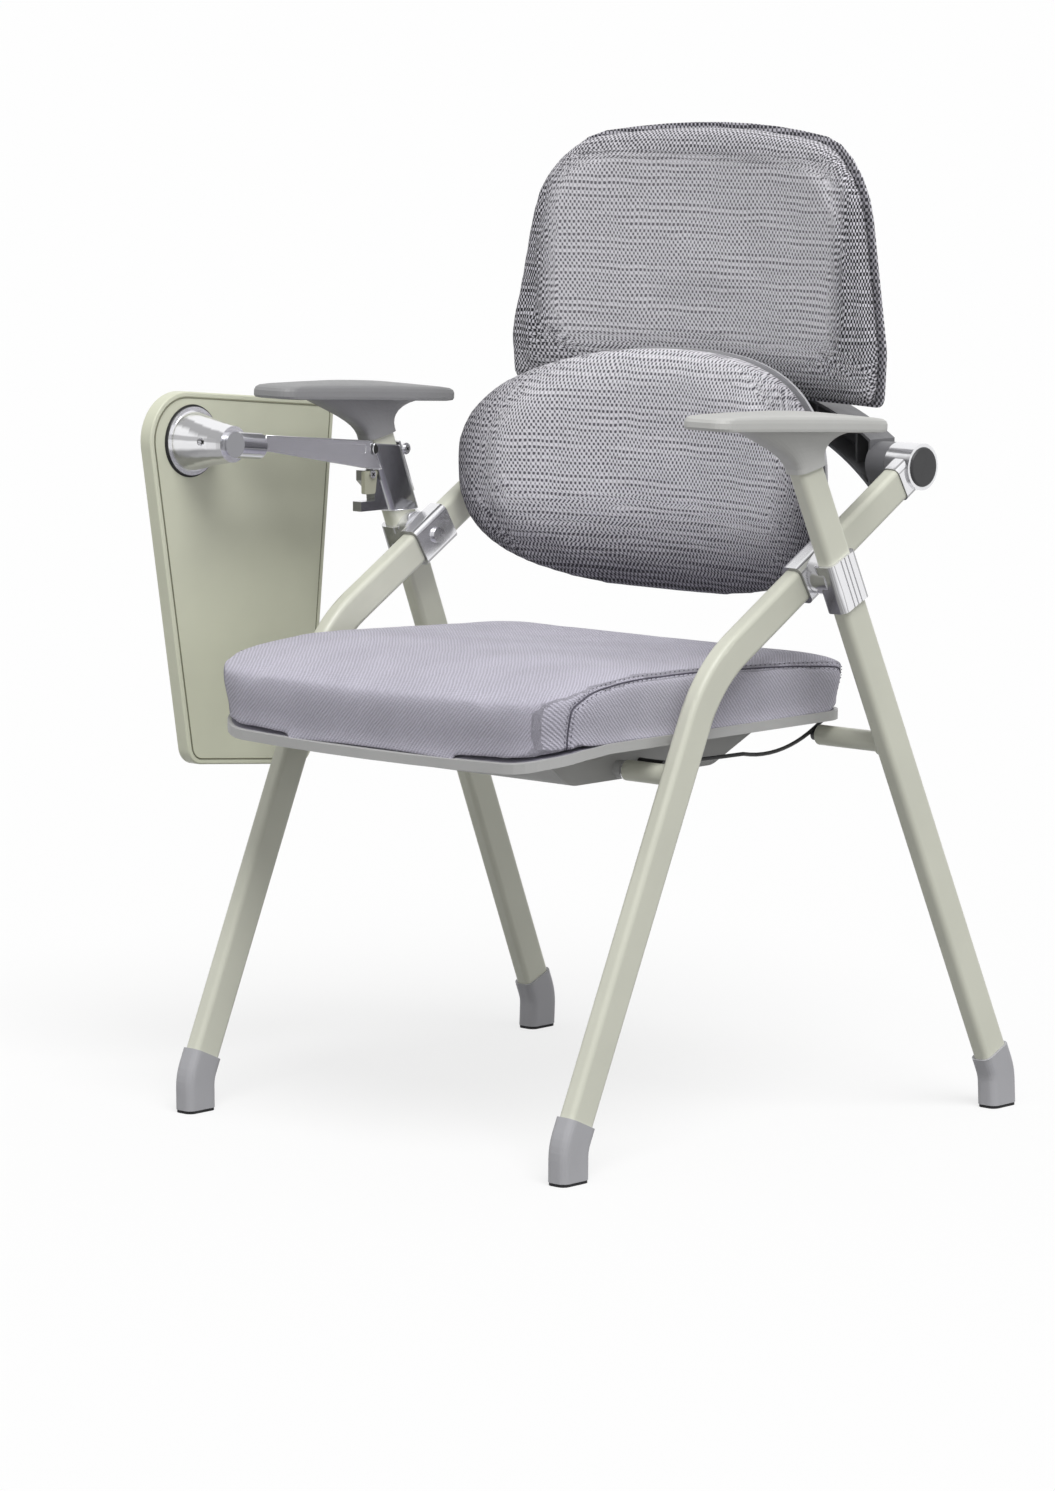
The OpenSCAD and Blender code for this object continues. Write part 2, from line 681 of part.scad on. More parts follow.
// Each roller turns on a pin that sits in the end of the rear stub
module guide_rollers() color(BLACK) for (side = [LEFT, RIGHT]) piece(side) {
    x_rod(rear_stub_end - seat_gap - roller_w, rear_stub_end - seat_gap, rear_stub_y,
        rear_stub_z, roller_r);
    x_rod(rear_stub_end - over, rear_stub_end + stub_r - seat_gap, rear_stub_y, rear_stub_z,
        seat_pin_r);
}

// Armrests

arm_half_len = arm_len / 2;

// Puts a shape that lies flat round its middle onto the armrest's underside
module on_armrest()
    translate([arm_x, arm_front_y, arm_low_z]) rotate([-arm_fall, 0, 0])
        translate([0, arm_half_len, 0]) children();

arm_corners = [[-arm_w / 2, -arm_half_len, arm_r], [arm_w / 2, -arm_half_len, arm_r],
    [arm_w / 2, arm_half_len, arm_r], [-arm_w / 2, arm_half_len, arm_r]];
arm_outline = divided(rounded(arm_corners, 5), arm_len / 9);

// Height of the pad's top over a place on its outline, higher towards the middle
function arm_top(p, s) = arm_t + arm_dome
    * (1 - pow(p.y / arm_half_len, 2)) * (1 - 0.75 * s * s);

// The pad's rings: size as a share of the outline, and height as a share of the top
arm_ring_shares = [[0.93, 0], [0.985, 0.06], [1, 0.22], [1, 0.6], [0.985, 0.82], [0.95, 0.95],
    [0.86, 1], [0.6, 1], [0.3, 1]];

module armrest_pad(side) color(side == LEFT ? [0.73, 0.73, 0.71] : [0.6, 0.6, 0.61])
    piece(side) on_armrest() skin([for (k = arm_ring_shares)
        [for (p = arm_outline) [k[0] * p.x, k[0] * p.y, k[1] * arm_top(k[0] * p, k[0])]]]);

// The stalk flares like a trumpet from a ring round the tube to the pad's underside
stalk_foot_w = tube_w + 2 * stalk_wall;
stalk_foot_t = tube_t + 2 * stalk_wall;
stalk_steps = 8;
stalk_points = 32;
stalk_flare_share = 2.4;

// One ring of the stalk at a share f of the way up, as a superellipse
function stalk_ring(f) =
    let (g = pow(f, stalk_flare_share),
        a = stalk_foot_t / 2 + g * (stalk_w - stalk_foot_t) / 2,
        b = stalk_foot_w / 2 + g * (stalk_len - stalk_foot_w) / 2,
        e = 2 / (4 - 1.2 * f))
    [for (i = [0 : stalk_points - 1]) let (t = 360 * i / stalk_points)
        [a * signed_pow(cos(t), e), b * signed_pow(sin(t), e)]];

module armrest_stalk(side)
    color(side == LEFT ? [0.73, 0.73, 0.71] : [0.6, 0.6, 0.61]) piece(side) difference() {
        skin([for (j = [0 : stalk_steps]) stalk_level(j / stalk_steps)]);
        along_rear() linear_extrude(rear_top + seat_gap) tube_space();
    }

// Where the tube's middle line is at a height over the pivot's level
function rear_line(z) = [rear_x - (z - pivot_z) * tan(rear_splay),
    pivot_y - (z - pivot_z) * tan(rear_rake)];

// The stalk's levels run from the slanted ring on the tube to the pad's sloping underside
stalk_low_z = arm_low_z - stalk_h - (rear_line(arm_low_z).y - arm_front_y) * tan(arm_fall);
stalk_cut = 12;
function stalk_level(f) =
    let (c0 = rear_line(stalk_low_z), top_y = arm_front_y + 0.53 * arm_len,
        g = pow(f, 1.3), cx = c0.x + g * (arm_x - c0.x), cy = c0.y + g * (top_y - c0.y))
    [for (p = stalk_ring(f))
        let (y = cy + p.y, low = stalk_low_z + p.y * tan(stalk_cut),
            high = arm_low_z - face_gap - (y - arm_front_y) * tan(arm_fall))
        [cx + p.x, y, low + f * (high - low)]];

// Seat

// Heights of the cushion's underside and of its top seam
function low_z(y) = seat_low_z
    - seat_droop_share / seat_half_d * pow(max(0, seat_knee_y - y), 2);
function top_z(y) = seat_top_z - top_fall_share * max(0, y - top_knee_y)
    - top_droop_share / seat_half_d * pow(max(0, top_knee_y - y), 2);

// The seat's outline, seen from above, moved in by d
seat_corners = [[-seat_half, seat_y - seat_half_d, seat_front_r],
    [seat_half, seat_y - seat_half_d, seat_front_r], [seat_half, seat_y + seat_half_d, seat_rear_r],
    [-seat_half, seat_y + seat_half_d, seat_rear_r]];
seat_base = [for (p = divided(rounded(seat_corners, 8), seat_half / 4))
    [p.x, p.y - (p.y < seat_y ? seat_bow * (1 - pow(p.x / seat_half, 2)) : 0)]];
function seat_outline(d) = [for (p = seat_base)
    [p.x * (1 - d / seat_half), seat_y + (p.y - seat_y) * (1 - d / seat_half_d)]];

// The cushion's rings: inset as a share of the draw, height as a share, crown share
seat_side_shares = [[0.85, 0], [0.8, 0.05], [0.45, 0.3], [0.15, 0.6], [0, 0.85], [0.12, 1]];
seat_crown_shares = [0.96, 0.88, 0.72, 0.5, 0.25];
seat_under_shares = [0.3, 0.4, 0.5, 0.6, 0.7, 0.8, 0.9];

// The underside's flat facets span the board's bent front, so they are lifted there
front_lift = 1.3;
function under_z(y) = low_z(y) + face_gap
    + front_lift * max(0, min(1, (top_knee_y - y) / (top_knee_y - seat_knee_y)));

module seat_cushion() color(MESH) placed() skin(concat(
    [for (k = seat_under_shares) [for (p = seat_outline(seat_side_shares[0][0] * seat_draw))
        let (q = [k * p.x, seat_y + k * (p.y - seat_y)]) [q.x, q.y, under_z(q.y)]]],
    [for (k = seat_side_shares) [for (p = seat_outline(k[0] * seat_draw))
        [p.x, p.y, under_z(p.y) + k[1] * (top_z(p.y) - under_z(p.y))]]],
    [for (k = seat_crown_shares) [for (p = seat_outline(0))
        let (q = [k * p.x, seat_y + k * (p.y - seat_y)])
        [q.x, q.y, top_z(q.y) + seat_crown * (1 - pow(k, 4))]]]));

// A slab that follows the seat's underside, between two depths below it
seat_steps = 14;
function seat_ys(d) = [for (i = [0 : seat_steps])
    seat_y - (seat_half_d + seat_bow - d) + i * (2 * seat_half_d + seat_bow - 2 * d) / seat_steps];
module seat_slab(top, bottom, d) intersection() {
    side_view() linear_extrude(2 * seat_half, center = true)
        polygon(concat([for (y = seat_ys(0)) [y, low_z(y) - top]],
            [for (i = [seat_steps : -1 : 0]) let (y = seat_ys(0)[i]) [y, low_z(y) - bottom]]));
    linear_extrude(seat_top_z) polygon(seat_outline(d));
}

module seat_board() color([0.72, 0.6, 0.45]) placed()
    seat_slab(seat_gap, board_t, pan_inset + pan_wall + seat_gap);

// The belly's side outline, seen from the side, with its walls moved in by d
belly_front = seat_y - 0.8 * seat_half_d;
belly_back = seat_y + 0.82 * seat_half_d;
belly_toe = front_stub_y - 7 * stub_r;
belly_heel = front_stub_y + 0.6 * seat_half_d;
module belly_side(d) polygon(rounded([
    [belly_front + d, low_z(belly_front), pan_wall],
    [belly_toe + d, belly_low_z + d, 3 * stub_r - d],
    [belly_heel - d, belly_low_z + d, 3 * stub_r - d],
    [belly_back - d, low_z(belly_back), pan_wall]]));

module seat_pan() color([0.66, 0.66, 0.66]) placed() difference() {
    union() {
        difference() {
            seat_slab(board_t + seat_gap, pan_rim_t, pan_inset);
            belly_hollow();
        }
        difference() {
            seat_slab(seat_gap, pan_rim_t, pan_inset);
            seat_slab(-over, pan_rim_t + over, pan_inset + pan_wall);
        }
        difference() {
            side_view() linear_extrude(2 * belly_half, center = true) belly_side(0);
            belly_hollow();
            seat_slab(-over, board_t + seat_gap, 0);
        }
        for (side = [LEFT, RIGHT]) mirrored(side)
            x_rod(belly_half - 2 * pan_boss_r, belly_half + pan_boss_r, front_stub_y,
                front_stub_z, pan_boss_r);
    }
    for (side = [LEFT, RIGHT]) mirrored(side)
        x_rod(belly_half - 3 * pan_boss_r, seat_half, front_stub_y, front_stub_z,
            seat_pin_r + run_gap);
}

module belly_hollow()
    side_view() linear_extrude(2 * (belly_half - pan_wall), center = true) belly_side(pan_wall);

// The roller's centre in the seat's own frame, when the frame has folded by f degrees
function turned(p, a) = [p.x * cos(a) - p.y * sin(a), p.x * sin(a) + p.y * cos(a)];
function roller_path(f) =
    let (p = turned([rear_stub_y - pivot_y, rear_stub_z - pivot_z], -f) + [pivot_y, pivot_z],
        q = turned(p - [front_stub_y, front_stub_z], -f * seat_ratio))
    q + [front_stub_y, front_stub_z];
rod_steps = 12;
rod_lift = roller_r + rod_r + run_gap;
rod_x = rear_stub_end - roller_w / 2 - seat_gap;

// The rod runs over the roller, then turns into the pan at each end
rod_path = concat(
    [[rear_stub_y + 2.5 * roller_r, low_z(rear_stub_y) - pan_rim_t - rod_r - seat_gap]],
    [for (i = [0 : rod_steps]) let (f = (i - 1) * fold_max * 1.1 / (rod_steps - 1),
        a = roller_path(f - 0.5), b = roller_path(f + 0.5), t = unit(b - a))
        roller_path(f) + rod_lift * [t.y, -t.x]],
    [[front_stub_y + 3 * stub_r, front_stub_z + 2 * rod_r]]);

// One ring of the rod round point i of its path, square to the path
function rod_ring(i) =
    let (n = len(rod_path), a = rod_path[max(0, i - 1)], b = rod_path[min(n - 1, i + 1)],
        t = unit(b - a))
    [for (k = [0 : 7]) let (c = rod_r * cos(45 * k), s = rod_r * sin(45 * k))
        [rod_x + c, rod_path[i].x + s * t.y, rod_path[i].y - s * t.x]];

// The front end's foot, which lies against the belly's side
rod_foot_r = 2 * rod_r;

module guide_rods() color(BLACK) for (side = [LEFT, RIGHT]) piece(side) {
    skin([for (i = [0 : len(rod_path) - 1]) rod_ring(i)]);
    x_rod(belly_half + seat_gap, rod_x + rod_r, rod_path[len(rod_path) - 1].x,
        rod_path[len(rod_path) - 1].y, rod_foot_r);
}

// Back

// A wall round the vertical axis of a curve, between two radii
module curved_wall(axis_y, r0, r1, z0, z1) difference() {
    translate([0, axis_y, z0]) cylinder(h = z1 - z0, r = r1, $fn = 360);
    translate([0, axis_y, z0 - over]) cylinder(h = z1 - z0 + 2 * over, r = r0, $fn = 360);
    translate([-r1 - over, axis_y - r1 - over, z0 - over])
        cube([2 * (r1 + over), r1 + over + 0.6 * r0, z1 - z0 + 2 * over]);
}

// Draws an outline of the front view as a prism right through the back
module through_back() front_view()
    linear_extrude(4 * pivot_y, center = true) children();

// The arched band of the yoke, in the front view, with its edges moved in by d
module arch(d) intersection() {
    difference() {
        translate([0, arch_z - yoke_arch_more])
            circle(yoke_arch_r + yoke_h + yoke_arch_more - d, $fn = 240);
        translate([0, arch_z]) circle(yoke_arch_r + d, $fn = 240);
    }
    translate([-collar_in_x - over + d, hub_z - 2 * collar_r])
        square([2 * (collar_in_x + over - d), yoke_arch_r]);
}

module back_yoke() color(PLASTIC) placed() difference() {
    union() {
        intersection() {
            curved_wall(back_axis_y, yoke_in_r, yoke_out_r, hub_z - 2 * collar_r, back_top_z);
            through_back() difference() {
                arch(0);
                arch(yoke_wall);
            }
        }
        intersection() {
            curved_wall(back_axis_y, yoke_out_r - yoke_wall, yoke_out_r,
                hub_z - 2 * collar_r, back_top_z);
            through_back() arch(0);
        }
        intersection() {
            curved_wall(back_axis_y, yoke_in_r + yoke_d / 4, yoke_out_r,
                hub_z - 2 * collar_r, back_top_z);
            through_back() intersection() {
                arch(0);
                for (i = [0 : yoke_rib_n - 1])
                    translate([(i - (yoke_rib_n - 1) / 2) * 2 * collar_in_x / yoke_rib_n,
                        back_low_z]) square([yoke_wall, 4 * yoke_h], center = true);
            }
        }
        for (side = [LEFT, RIGHT]) mirrored(side)
            x_rod(collar_in_x, collar_out_x, hub_y, hub_z, collar_r);
    }
    for (side = [LEFT, RIGHT]) mirrored(side)
        x_rod(collar_in_x - yoke_wall, collar_out_x + over, hub_y, hub_z,
            back_pin_r + run_gap);
}

// Corners of the upper back, in the front view
back_h = back_top_z - back_low_z;
back_knee_z = back_low_z + 0.2 * back_h;
back_knee_r = 0.2 * back_h;
back_top_r = back_top_r_share * back_h;
back_corners = [[-back_low_half, back_low_z, back_low_r], [back_low_half, back_low_z, back_low_r],
    [back_wide_half, back_knee_z, back_knee_r],
    [back_top_half, back_top_z - back_top_drop, back_top_r],
    [-back_top_half, back_top_z - back_top_drop, back_top_r],
    [-back_wide_half, back_knee_z, back_knee_r]];

// Lifts the top edge into its shallow arch
function top_arch(p) = p.y < back_knee_z ? p : [p.x, p.y + back_top_drop
    * (1 - pow(min(1, abs(p.x) / back_wide_half), 2)) * pow((p.y - back_knee_z)
    / (back_top_z - back_top_drop - back_knee_z), 3)];
back_outline = [for (p = divided(rounded(back_corners, 5), back_wide_half / 6)) top_arch(p)];
back_mid_z = (back_low_z + back_top_z) / 2;

// The pad's rings: size as a share, depth as a share of half the thickness
back_ring_shares = [[0.3, 1.0], [0.6, 1.0], [0.85, 0.98], [0.95, 0.86], [0.985, 0.6], [1, 0.2],
    [1, -0.3], [0.985, -0.75], [0.96, -0.97], [0.88, -1], [0.4, -1]];

// Puts a front-view place onto a curve at a depth towards the sitter
function on_curve(p, axis_y, r) = [p.x, axis_y + sqrt(r * r - p.x * p.x), p.y];

module upper_back_pad() color(MESH) placed() skin([for (k = back_ring_shares)
    [for (p = back_outline) on_curve([k[0] * p.x, back_mid_z + k[0] * (p.y - back_mid_z)],
        back_axis_y, back_r - k[1] * back_t / 2)]]);

module back_shell() color([0.8, 0.8, 0.8]) placed() intersection() {
    curved_wall(back_axis_y, shell_in_r, shell_out_r, back_low_z - back_t,
        back_top_z + back_t);
    through_back() polygon([for (p = back_outline)
        p * (1 + shell_rim / back_wide_half) - [0, back_mid_z * shell_rim / back_wide_half]]);
}

// The lumbar pad's outline, rounder above its widest line than below
lumbar_points = 56;
function lumbar_outline(k) = [for (i = [0 : lumbar_points - 1])
    let (t = 360 * i / lumbar_points, up = sin(t) > 0, e = up ? 2 / 2.3 : 2 / 2.8)
    [k * lumbar_half * signed_pow(cos(t), e),
        lumbar_mid_z + k * (up ? lumbar_up : lumbar_down) * signed_pow(sin(t), e)]];
lumbar_ring_shares = [[0.25, 1], [0.5, 0.97], [0.75, 0.88], [0.9, 0.7], [0.97, 0.42], [1, 0.05],
    [0.985, -0.35], [0.95, -0.7], [0.88, -0.92], [0.7, -1], [0.3, -1]];

module lumbar_pad() color(DARK_MESH) placed() skin([for (k = lumbar_ring_shares)
    [for (p = lumbar_outline(k[0])) on_curve(p, lumbar_axis_y, lumbar_r - k[1] * lumbar_t / 2)]]);

module lumbar_shell() color(PLASTIC) placed() intersection() {
    curved_wall(lumbar_axis_y, lumbar_in_r, lumbar_out_r, lumbar_mid_z - lumbar_down,
        lumbar_mid_z + lumbar_up);
    through_back() polygon(lumbar_outline(0.95));
}

// Two brackets reach from the lumbar shell back to the yoke's arch
module lumbar_brackets() color(PLASTIC) placed() difference() {
    for (side = [LEFT, RIGHT]) mirrored(side)
        translate([bracket_x - bracket_w / 2, lumbar_y,
            arch_z + yoke_arch_r - bracket_h - over])
            cube([bracket_w, back_y + back_t + yoke_d - lumbar_y, bracket_h]);
    translate([0, lumbar_axis_y, 0]) cylinder(h = back_top_z, r = lumbar_out_r + seat_gap,
        $fn = 360);
    translate([0, 0, arch_z]) front_view() linear_extrude(4 * pivot_y, center = true)
        difference() {
            circle(yoke_arch_r + yoke_h, $fn = 240);
            circle(yoke_arch_r - seat_gap, $fn = 240);
        }
}

// Tablet

// The tablet's own frame at its turning point: X across, Y back along its arm
module tablet_frame() placed()
    translate([-arm_axis_x, turn_y, turn_z]) rotate([-tablet_fall, 0, 0]) children();

tablet_corners = [[-tablet_ahead, tablet_up, tablet_nose_r],
    [tablet_foot, -tablet_down, tablet_r], [tablet_behind, -tablet_down, tablet_r],
    [tablet_behind, tablet_up, tablet_back_r]];

module tablet_board() color(SAGE) tablet_frame() translate([-tablet_out - tablet_t, 0, 0])
    side_view() linear_extrude(tablet_t) polygon(rounded(inset(tablet_corners, band_t), 12));

module tablet_edge() color([0.5, 0.51, 0.46]) tablet_frame()
    translate([-tablet_out - tablet_t, 0, 0]) side_view() linear_extrude(tablet_t)
        difference() {
            polygon(rounded(tablet_corners, 12));
            polygon(rounded(inset(tablet_corners, band_t - seat_gap / 2), 12));
        }

// The cone's profile as shares of its length and of its flare, from its small end
cone_shares = [[0, 0], [0.1, 0.06], [0.3, 0.2], [0.5, 0.37], [0.7, 0.57], [0.86, 0.76], [1, 0.95]];
cone_len = tablet_out - cone_tip_r - flange_t;
knuckle_face = cone_tip_r;
cone_bore = 1.6 * cone_tip_r;
screw_r = 4;
screw_at = 0.42 * cone_len;
screw_depth = cone_tip_r - over / 2;

module cone_solid() rotate([0, -90, 0]) translate([0, 0, knuckle_face])
    rotate_extrude($fn = 96) polygon(concat([[0, 0]],
        [for (k = cone_shares) [cone_tip_r + k[1] * (cone_base_r - cone_tip_r - flange_t),
            k[0] * cone_len]],
        [[cone_base_r, cone_len], [cone_base_r, cone_len + flange_t - seat_gap],
            [0, cone_len + flange_t - seat_gap]]));

module screw_axis() translate([-knuckle_face - screw_at, 0, 0]) rotate([90, 0, 0]) children();

module tablet_cone() color(ALUMINIUM) tablet_frame() difference() {
    cone_solid();
    rotate([0, -90, 0]) cylinder(h = knuckle_face + cone_bore, r = turn_pin_r + run_gap);
    screw_axis() translate([0, 0, screw_depth]) cylinder(h = cone_base_r, r = screw_r + seat_gap);
}

module cone_screw() color(STEEL) tablet_frame() screw_axis()
    translate([0, 0, screw_depth + seat_gap]) cylinder(h = screw_r / 2, r = screw_r);

knuckle_ahead = 15;
knuckle_behind = 17;

module tablet_knuckle() color(ALUMINIUM) tablet_frame() difference() {
    union() {
        translate([0, -knuckle_ahead, 0]) rotate([-90, 0, 0])
            cylinder(h = knuckle_ahead + knuckle_behind, r = knuckle_r);
        rotate([0, -90, 0]) cylinder(h = knuckle_face - face_gap, r = knuckle_r - over / 2);
        rotate([0, -90, 0])
            cylinder(h = knuckle_face + cone_bore - face_gap, r = turn_pin_r);
    }
    translate([0, -knuckle_ahead + over, 0]) rotate([-90, 0, 0])
        cylinder(h = knuckle_ahead + knuckle_behind, r = spindle_r + run_gap);
}

// Where the rear tube crosses the tablet arm, along the arm
tube_cross = (rear_line(turn_z - beam_root).y - turn_y) / cos(tablet_fall);
beam_start = knuckle_behind + face_gap + over;
beam_end = tube_cross - tube_w / 2 - casting_wall - over;
spindle_len = beam_start + knuckle_ahead - over - face_gap;

// The arm is a deepening bar with a groove along its inner side, and the spindle in front;
// its back end is cut to fit the casting
module tablet_arm() color(ALUMINIUM) difference() {
    tablet_frame() {
        difference() {
            translate([-beam_w / 2, 0, 0]) side_view() linear_extrude(beam_w)
                polygon([[beam_start, -beam_nose], [beam_end, -beam_root],
                    [tube_cross, -beam_root], [tube_cross - tube_w / 2, beam_up],
                    [beam_start, beam_up]]);
            translate([beam_w / 2 - groove_d, 0, 0]) side_view() linear_extrude(beam_w)
                polygon(rounded([[beam_start + beam_up, -beam_nose / 2, beam_nose / 2],
                    [beam_end - beam_up, -beam_nose / 2, beam_nose / 2],
                    [beam_end - beam_up, beam_up - beam_nose, beam_nose / 2],
                    [beam_start + beam_up, beam_up - beam_nose, beam_nose / 2]]));
        }
        translate([0, beam_start - spindle_len, 0]) rotate([-90, 0, 0])
            cylinder(h = spindle_len + over, r = spindle_r);
    }
    piece(RIGHT) along_rear() linear_extrude(rear_top) casting_space();
}

casting_w = tube_w + 2 * casting_wall;
casting_t = tube_t + 2 * casting_wall;
casting_top = beam_up - over;

module casting_outline() round_rect(casting_t, casting_w, tube_r + casting_wall / 2);

// The space that the casting takes, with the clearance of what is fitted to it
module casting_space() round_rect(casting_t + 2 * seat_gap, casting_w + 2 * seat_gap,
    tube_r + casting_wall / 2);

// Casting round the right rear tube, cut level below and along the arm's slope above
module tablet_casting() color(ALUMINIUM) difference() {
    piece(RIGHT) along_rear() linear_extrude(rear_top) casting_outline();
    piece(RIGHT) along_rear() linear_extrude(rear_top) tube_space();
    placed() translate([-2 * rear_x, 0, 0]) cube([2 * rear_x, 2 * pivot_y, casting_low_z]);
    tablet_frame() translate([-pivot_y / 2, 0, casting_top]) cube(pivot_y);
}

// A pressed plate behind the casting, with a round ear for its screw
ear_r = 6;
ear_z = turn_z - beam_up - ear_r;
ear_y = rear_line(ear_z).y + casting_w / 2 / cos(rear_rake) + ear_r + over;
ear_x = rear_line(ear_z).x - casting_t / 2 + tube_r;
clamp_plate_t = 2.5;

module casting_clamp() color(STEEL) piece(RIGHT) difference() {
    union() {
        along_rear() translate([0, casting_w / 2 + seat_gap + clamp_plate_t / 2, stalk_h])
            linear_extrude((ear_z - pivot_z) / cos(rear_rake) - stalk_h)
                square([casting_t - 2 * tube_r, clamp_plate_t], center = true);
        x_rod(ear_x, ear_x + clamp_plate_t, ear_y, ear_z, ear_r);
        translate([ear_x, ear_y - 2 * ear_r, ear_z - ear_r / 2])
            cube([clamp_plate_t, 2 * ear_r, ear_r]);
    }
    along_rear() linear_extrude(rear_top) casting_space();
    x_rod(0, rear_x, ear_y, ear_z, ear_r / 3 + seat_gap);
}

module casting_screw() color(STEEL) piece(RIGHT) {
    x_rod(ear_x - over - seat_gap, ear_x - seat_gap, ear_y, ear_z, ear_r / 1.5);
    x_rod(ear_x - over, ear_x + 2 * clamp_plate_t, ear_y, ear_z, ear_r / 3);
}

// The latch: a hook on the casting's front face and a sprung lever on the hook's pin
latch_y = 278;
latch_z = 613;
latch_t = 5.5;
latch_w = 20;
latch_pin_r = 2.5;
hook_z = casting_low_z + over;
hook_t = 12;
lever_x = rear_line(latch_z).x - hook_t / 2 - latch_t;

// The front face of the casting at a height
function casting_front(z) = rear_line(z).y - casting_w / 2 / cos(rear_rake);

module latch_hook() color(ALUMINIUM) piece(RIGHT) difference() {
    translate([lever_x + latch_t, 0, 0]) side_view() linear_extrude(hook_t)
        polygon([[latch_y - latch_w / 2, hook_z],
            [casting_front(hook_z) + casting_wall, hook_z],
            [casting_front(latch_z) + casting_wall, latch_z + latch_pin_r + over / 2],
            [latch_y - latch_w / 4, latch_z + latch_pin_r + over / 2],
            [latch_y - latch_w / 4, latch_z - latch_w / 3],
            [casting_front(latch_z) - casting_wall, latch_z - latch_w],
            [latch_y + latch_w / 2, hook_z + latch_w / 2],
            [latch_y - latch_w / 2, hook_z + latch_w / 2]]);
    along_rear() linear_extrude(rear_top) casting_space();
    x_rod(lever_x, 2 * rear_x, latch_y, latch_z, latch_pin_r + seat_gap);
}

module latch_screw() color(STEEL) piece(RIGHT) {
    x_rod(lever_x - over, lever_x + latch_t + hook_t / 2, latch_y, latch_z, latch_pin_r);
    x_rod(lever_x - over - face_gap, lever_x - face_gap, latch_y, latch_z, 1.6 * latch_pin_r);
}

module latch_lever() color(SAGE) piece(RIGHT) difference() {
    translate([lever_x, 0, 0]) side_view() linear_extrude(latch_t - face_gap)
        polygon(rounded([[latch_y - latch_w / 2, latch_z - latch_w, over],
            [latch_y + latch_w / 4, latch_z - latch_w, over],
            [latch_y + latch_w / 2.4, latch_z + latch_pin_r + over / 2, over],
            [latch_y - latch_w / 2, latch_z + latch_pin_r + over / 2, over]]));
    x_rod(0, 2 * rear_x, latch_y, latch_z, latch_pin_r + run_gap);
}

front_tube(LEFT);  // front_tube_left
front_tube(RIGHT);  // front_tube_right
front_foot(LEFT);  // front_foot_left
front_foot(RIGHT);  // front_foot_right
front_soles();
front_stub(LEFT);  // front_stub_left
front_stub(RIGHT);  // front_stub_right
inner_clamp(LEFT);  // inner_clamp_left
inner_clamp(RIGHT);  // inner_clamp_right
pivot_bolts();
hub(LEFT);  // hub_left
hub(RIGHT);  // hub_right
hub_caps();
back_pivot_pins();
seat_pivot_pins();
rear_tube(LEFT);  // rear_tube_left
rear_tube(RIGHT);  // rear_tube_right
rear_foot(LEFT);  // rear_foot_left
rear_foot(RIGHT);  // rear_foot_right
rear_soles();
rear_stub(LEFT);  // rear_stub_left
rear_stub(RIGHT);  // rear_stub_right
outer_clamp(LEFT);  // outer_clamp_left
outer_clamp(RIGHT);  // outer_clamp_right
guide_rollers();
armrest_stalk(LEFT);  // armrest_stalk_left
armrest_stalk(RIGHT);  // armrest_stalk_right
armrest_pad(LEFT);  // armrest_pad_left
armrest_pad(RIGHT);  // armrest_pad_right
tablet_arm();
tablet_casting();
casting_clamp();
casting_screw();
latch_hook();
latch_screw();
latch_lever();
seat_pan();
seat_board();
seat_cushion();
guide_rods();
back_yoke();
back_shell();
upper_back_pad();
lumbar_shell();
lumbar_pad();
lumbar_brackets();
tablet_knuckle();
tablet_cone();
cone_screw();
tablet_board();
tablet_edge();
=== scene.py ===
# Training chair: materials, upholstery, small fittings, floor, light and camera.
import json
import math

import bmesh
import bpy
import numpy as np
from mathutils import Matrix, Vector
from mathutils.bvhtree import BVHTree


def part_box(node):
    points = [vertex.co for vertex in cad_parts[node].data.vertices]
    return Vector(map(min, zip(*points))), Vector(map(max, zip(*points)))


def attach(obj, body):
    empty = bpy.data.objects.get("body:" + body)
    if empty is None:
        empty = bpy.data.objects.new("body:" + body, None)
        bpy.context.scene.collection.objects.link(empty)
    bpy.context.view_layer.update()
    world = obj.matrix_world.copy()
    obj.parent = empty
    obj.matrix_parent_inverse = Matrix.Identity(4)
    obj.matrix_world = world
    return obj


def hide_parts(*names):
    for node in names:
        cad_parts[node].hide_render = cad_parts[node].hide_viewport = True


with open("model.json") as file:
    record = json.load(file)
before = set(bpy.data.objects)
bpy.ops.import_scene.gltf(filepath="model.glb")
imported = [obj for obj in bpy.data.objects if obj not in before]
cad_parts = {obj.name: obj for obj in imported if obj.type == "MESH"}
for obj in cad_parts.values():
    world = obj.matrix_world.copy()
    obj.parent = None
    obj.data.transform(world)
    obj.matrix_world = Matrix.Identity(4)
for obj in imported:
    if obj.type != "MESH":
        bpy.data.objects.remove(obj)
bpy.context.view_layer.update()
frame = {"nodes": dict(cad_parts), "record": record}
nodes = frame["nodes"]
scene = bpy.context.scene

# The chair's middle plane and its front feet, in the part's own frame
MIDDLE_X = 0.02647
FEET_Y = -0.28159

# The seat in millimetres, seen from above
SEAT_HALF_WIDTH = 240
SEAT_HALF_DEPTH = 225
SEAT_MIDDLE_Y = 215
SEAT_FRONT_BOW = 10
FRONT_CORNER = 60
REAR_CORNER = 36

# Its underside and its top edge: both droop in front of their knee, and the top falls
# a little behind its knee too
LOW_Z = 404.5
LOW_KNEE_Y = 85
LOW_DROOP = 0.42 / SEAT_HALF_DEPTH
TOP_Z = 466
TOP_KNEE_Y = 140
TOP_DROOP = 0.19 / SEAT_HALF_DEPTH
TOP_FALL = 0.045 / SEAT_HALF_DEPTH

# How far the cushion's edge hangs down round the board
SKIRT_HANG = 6.4

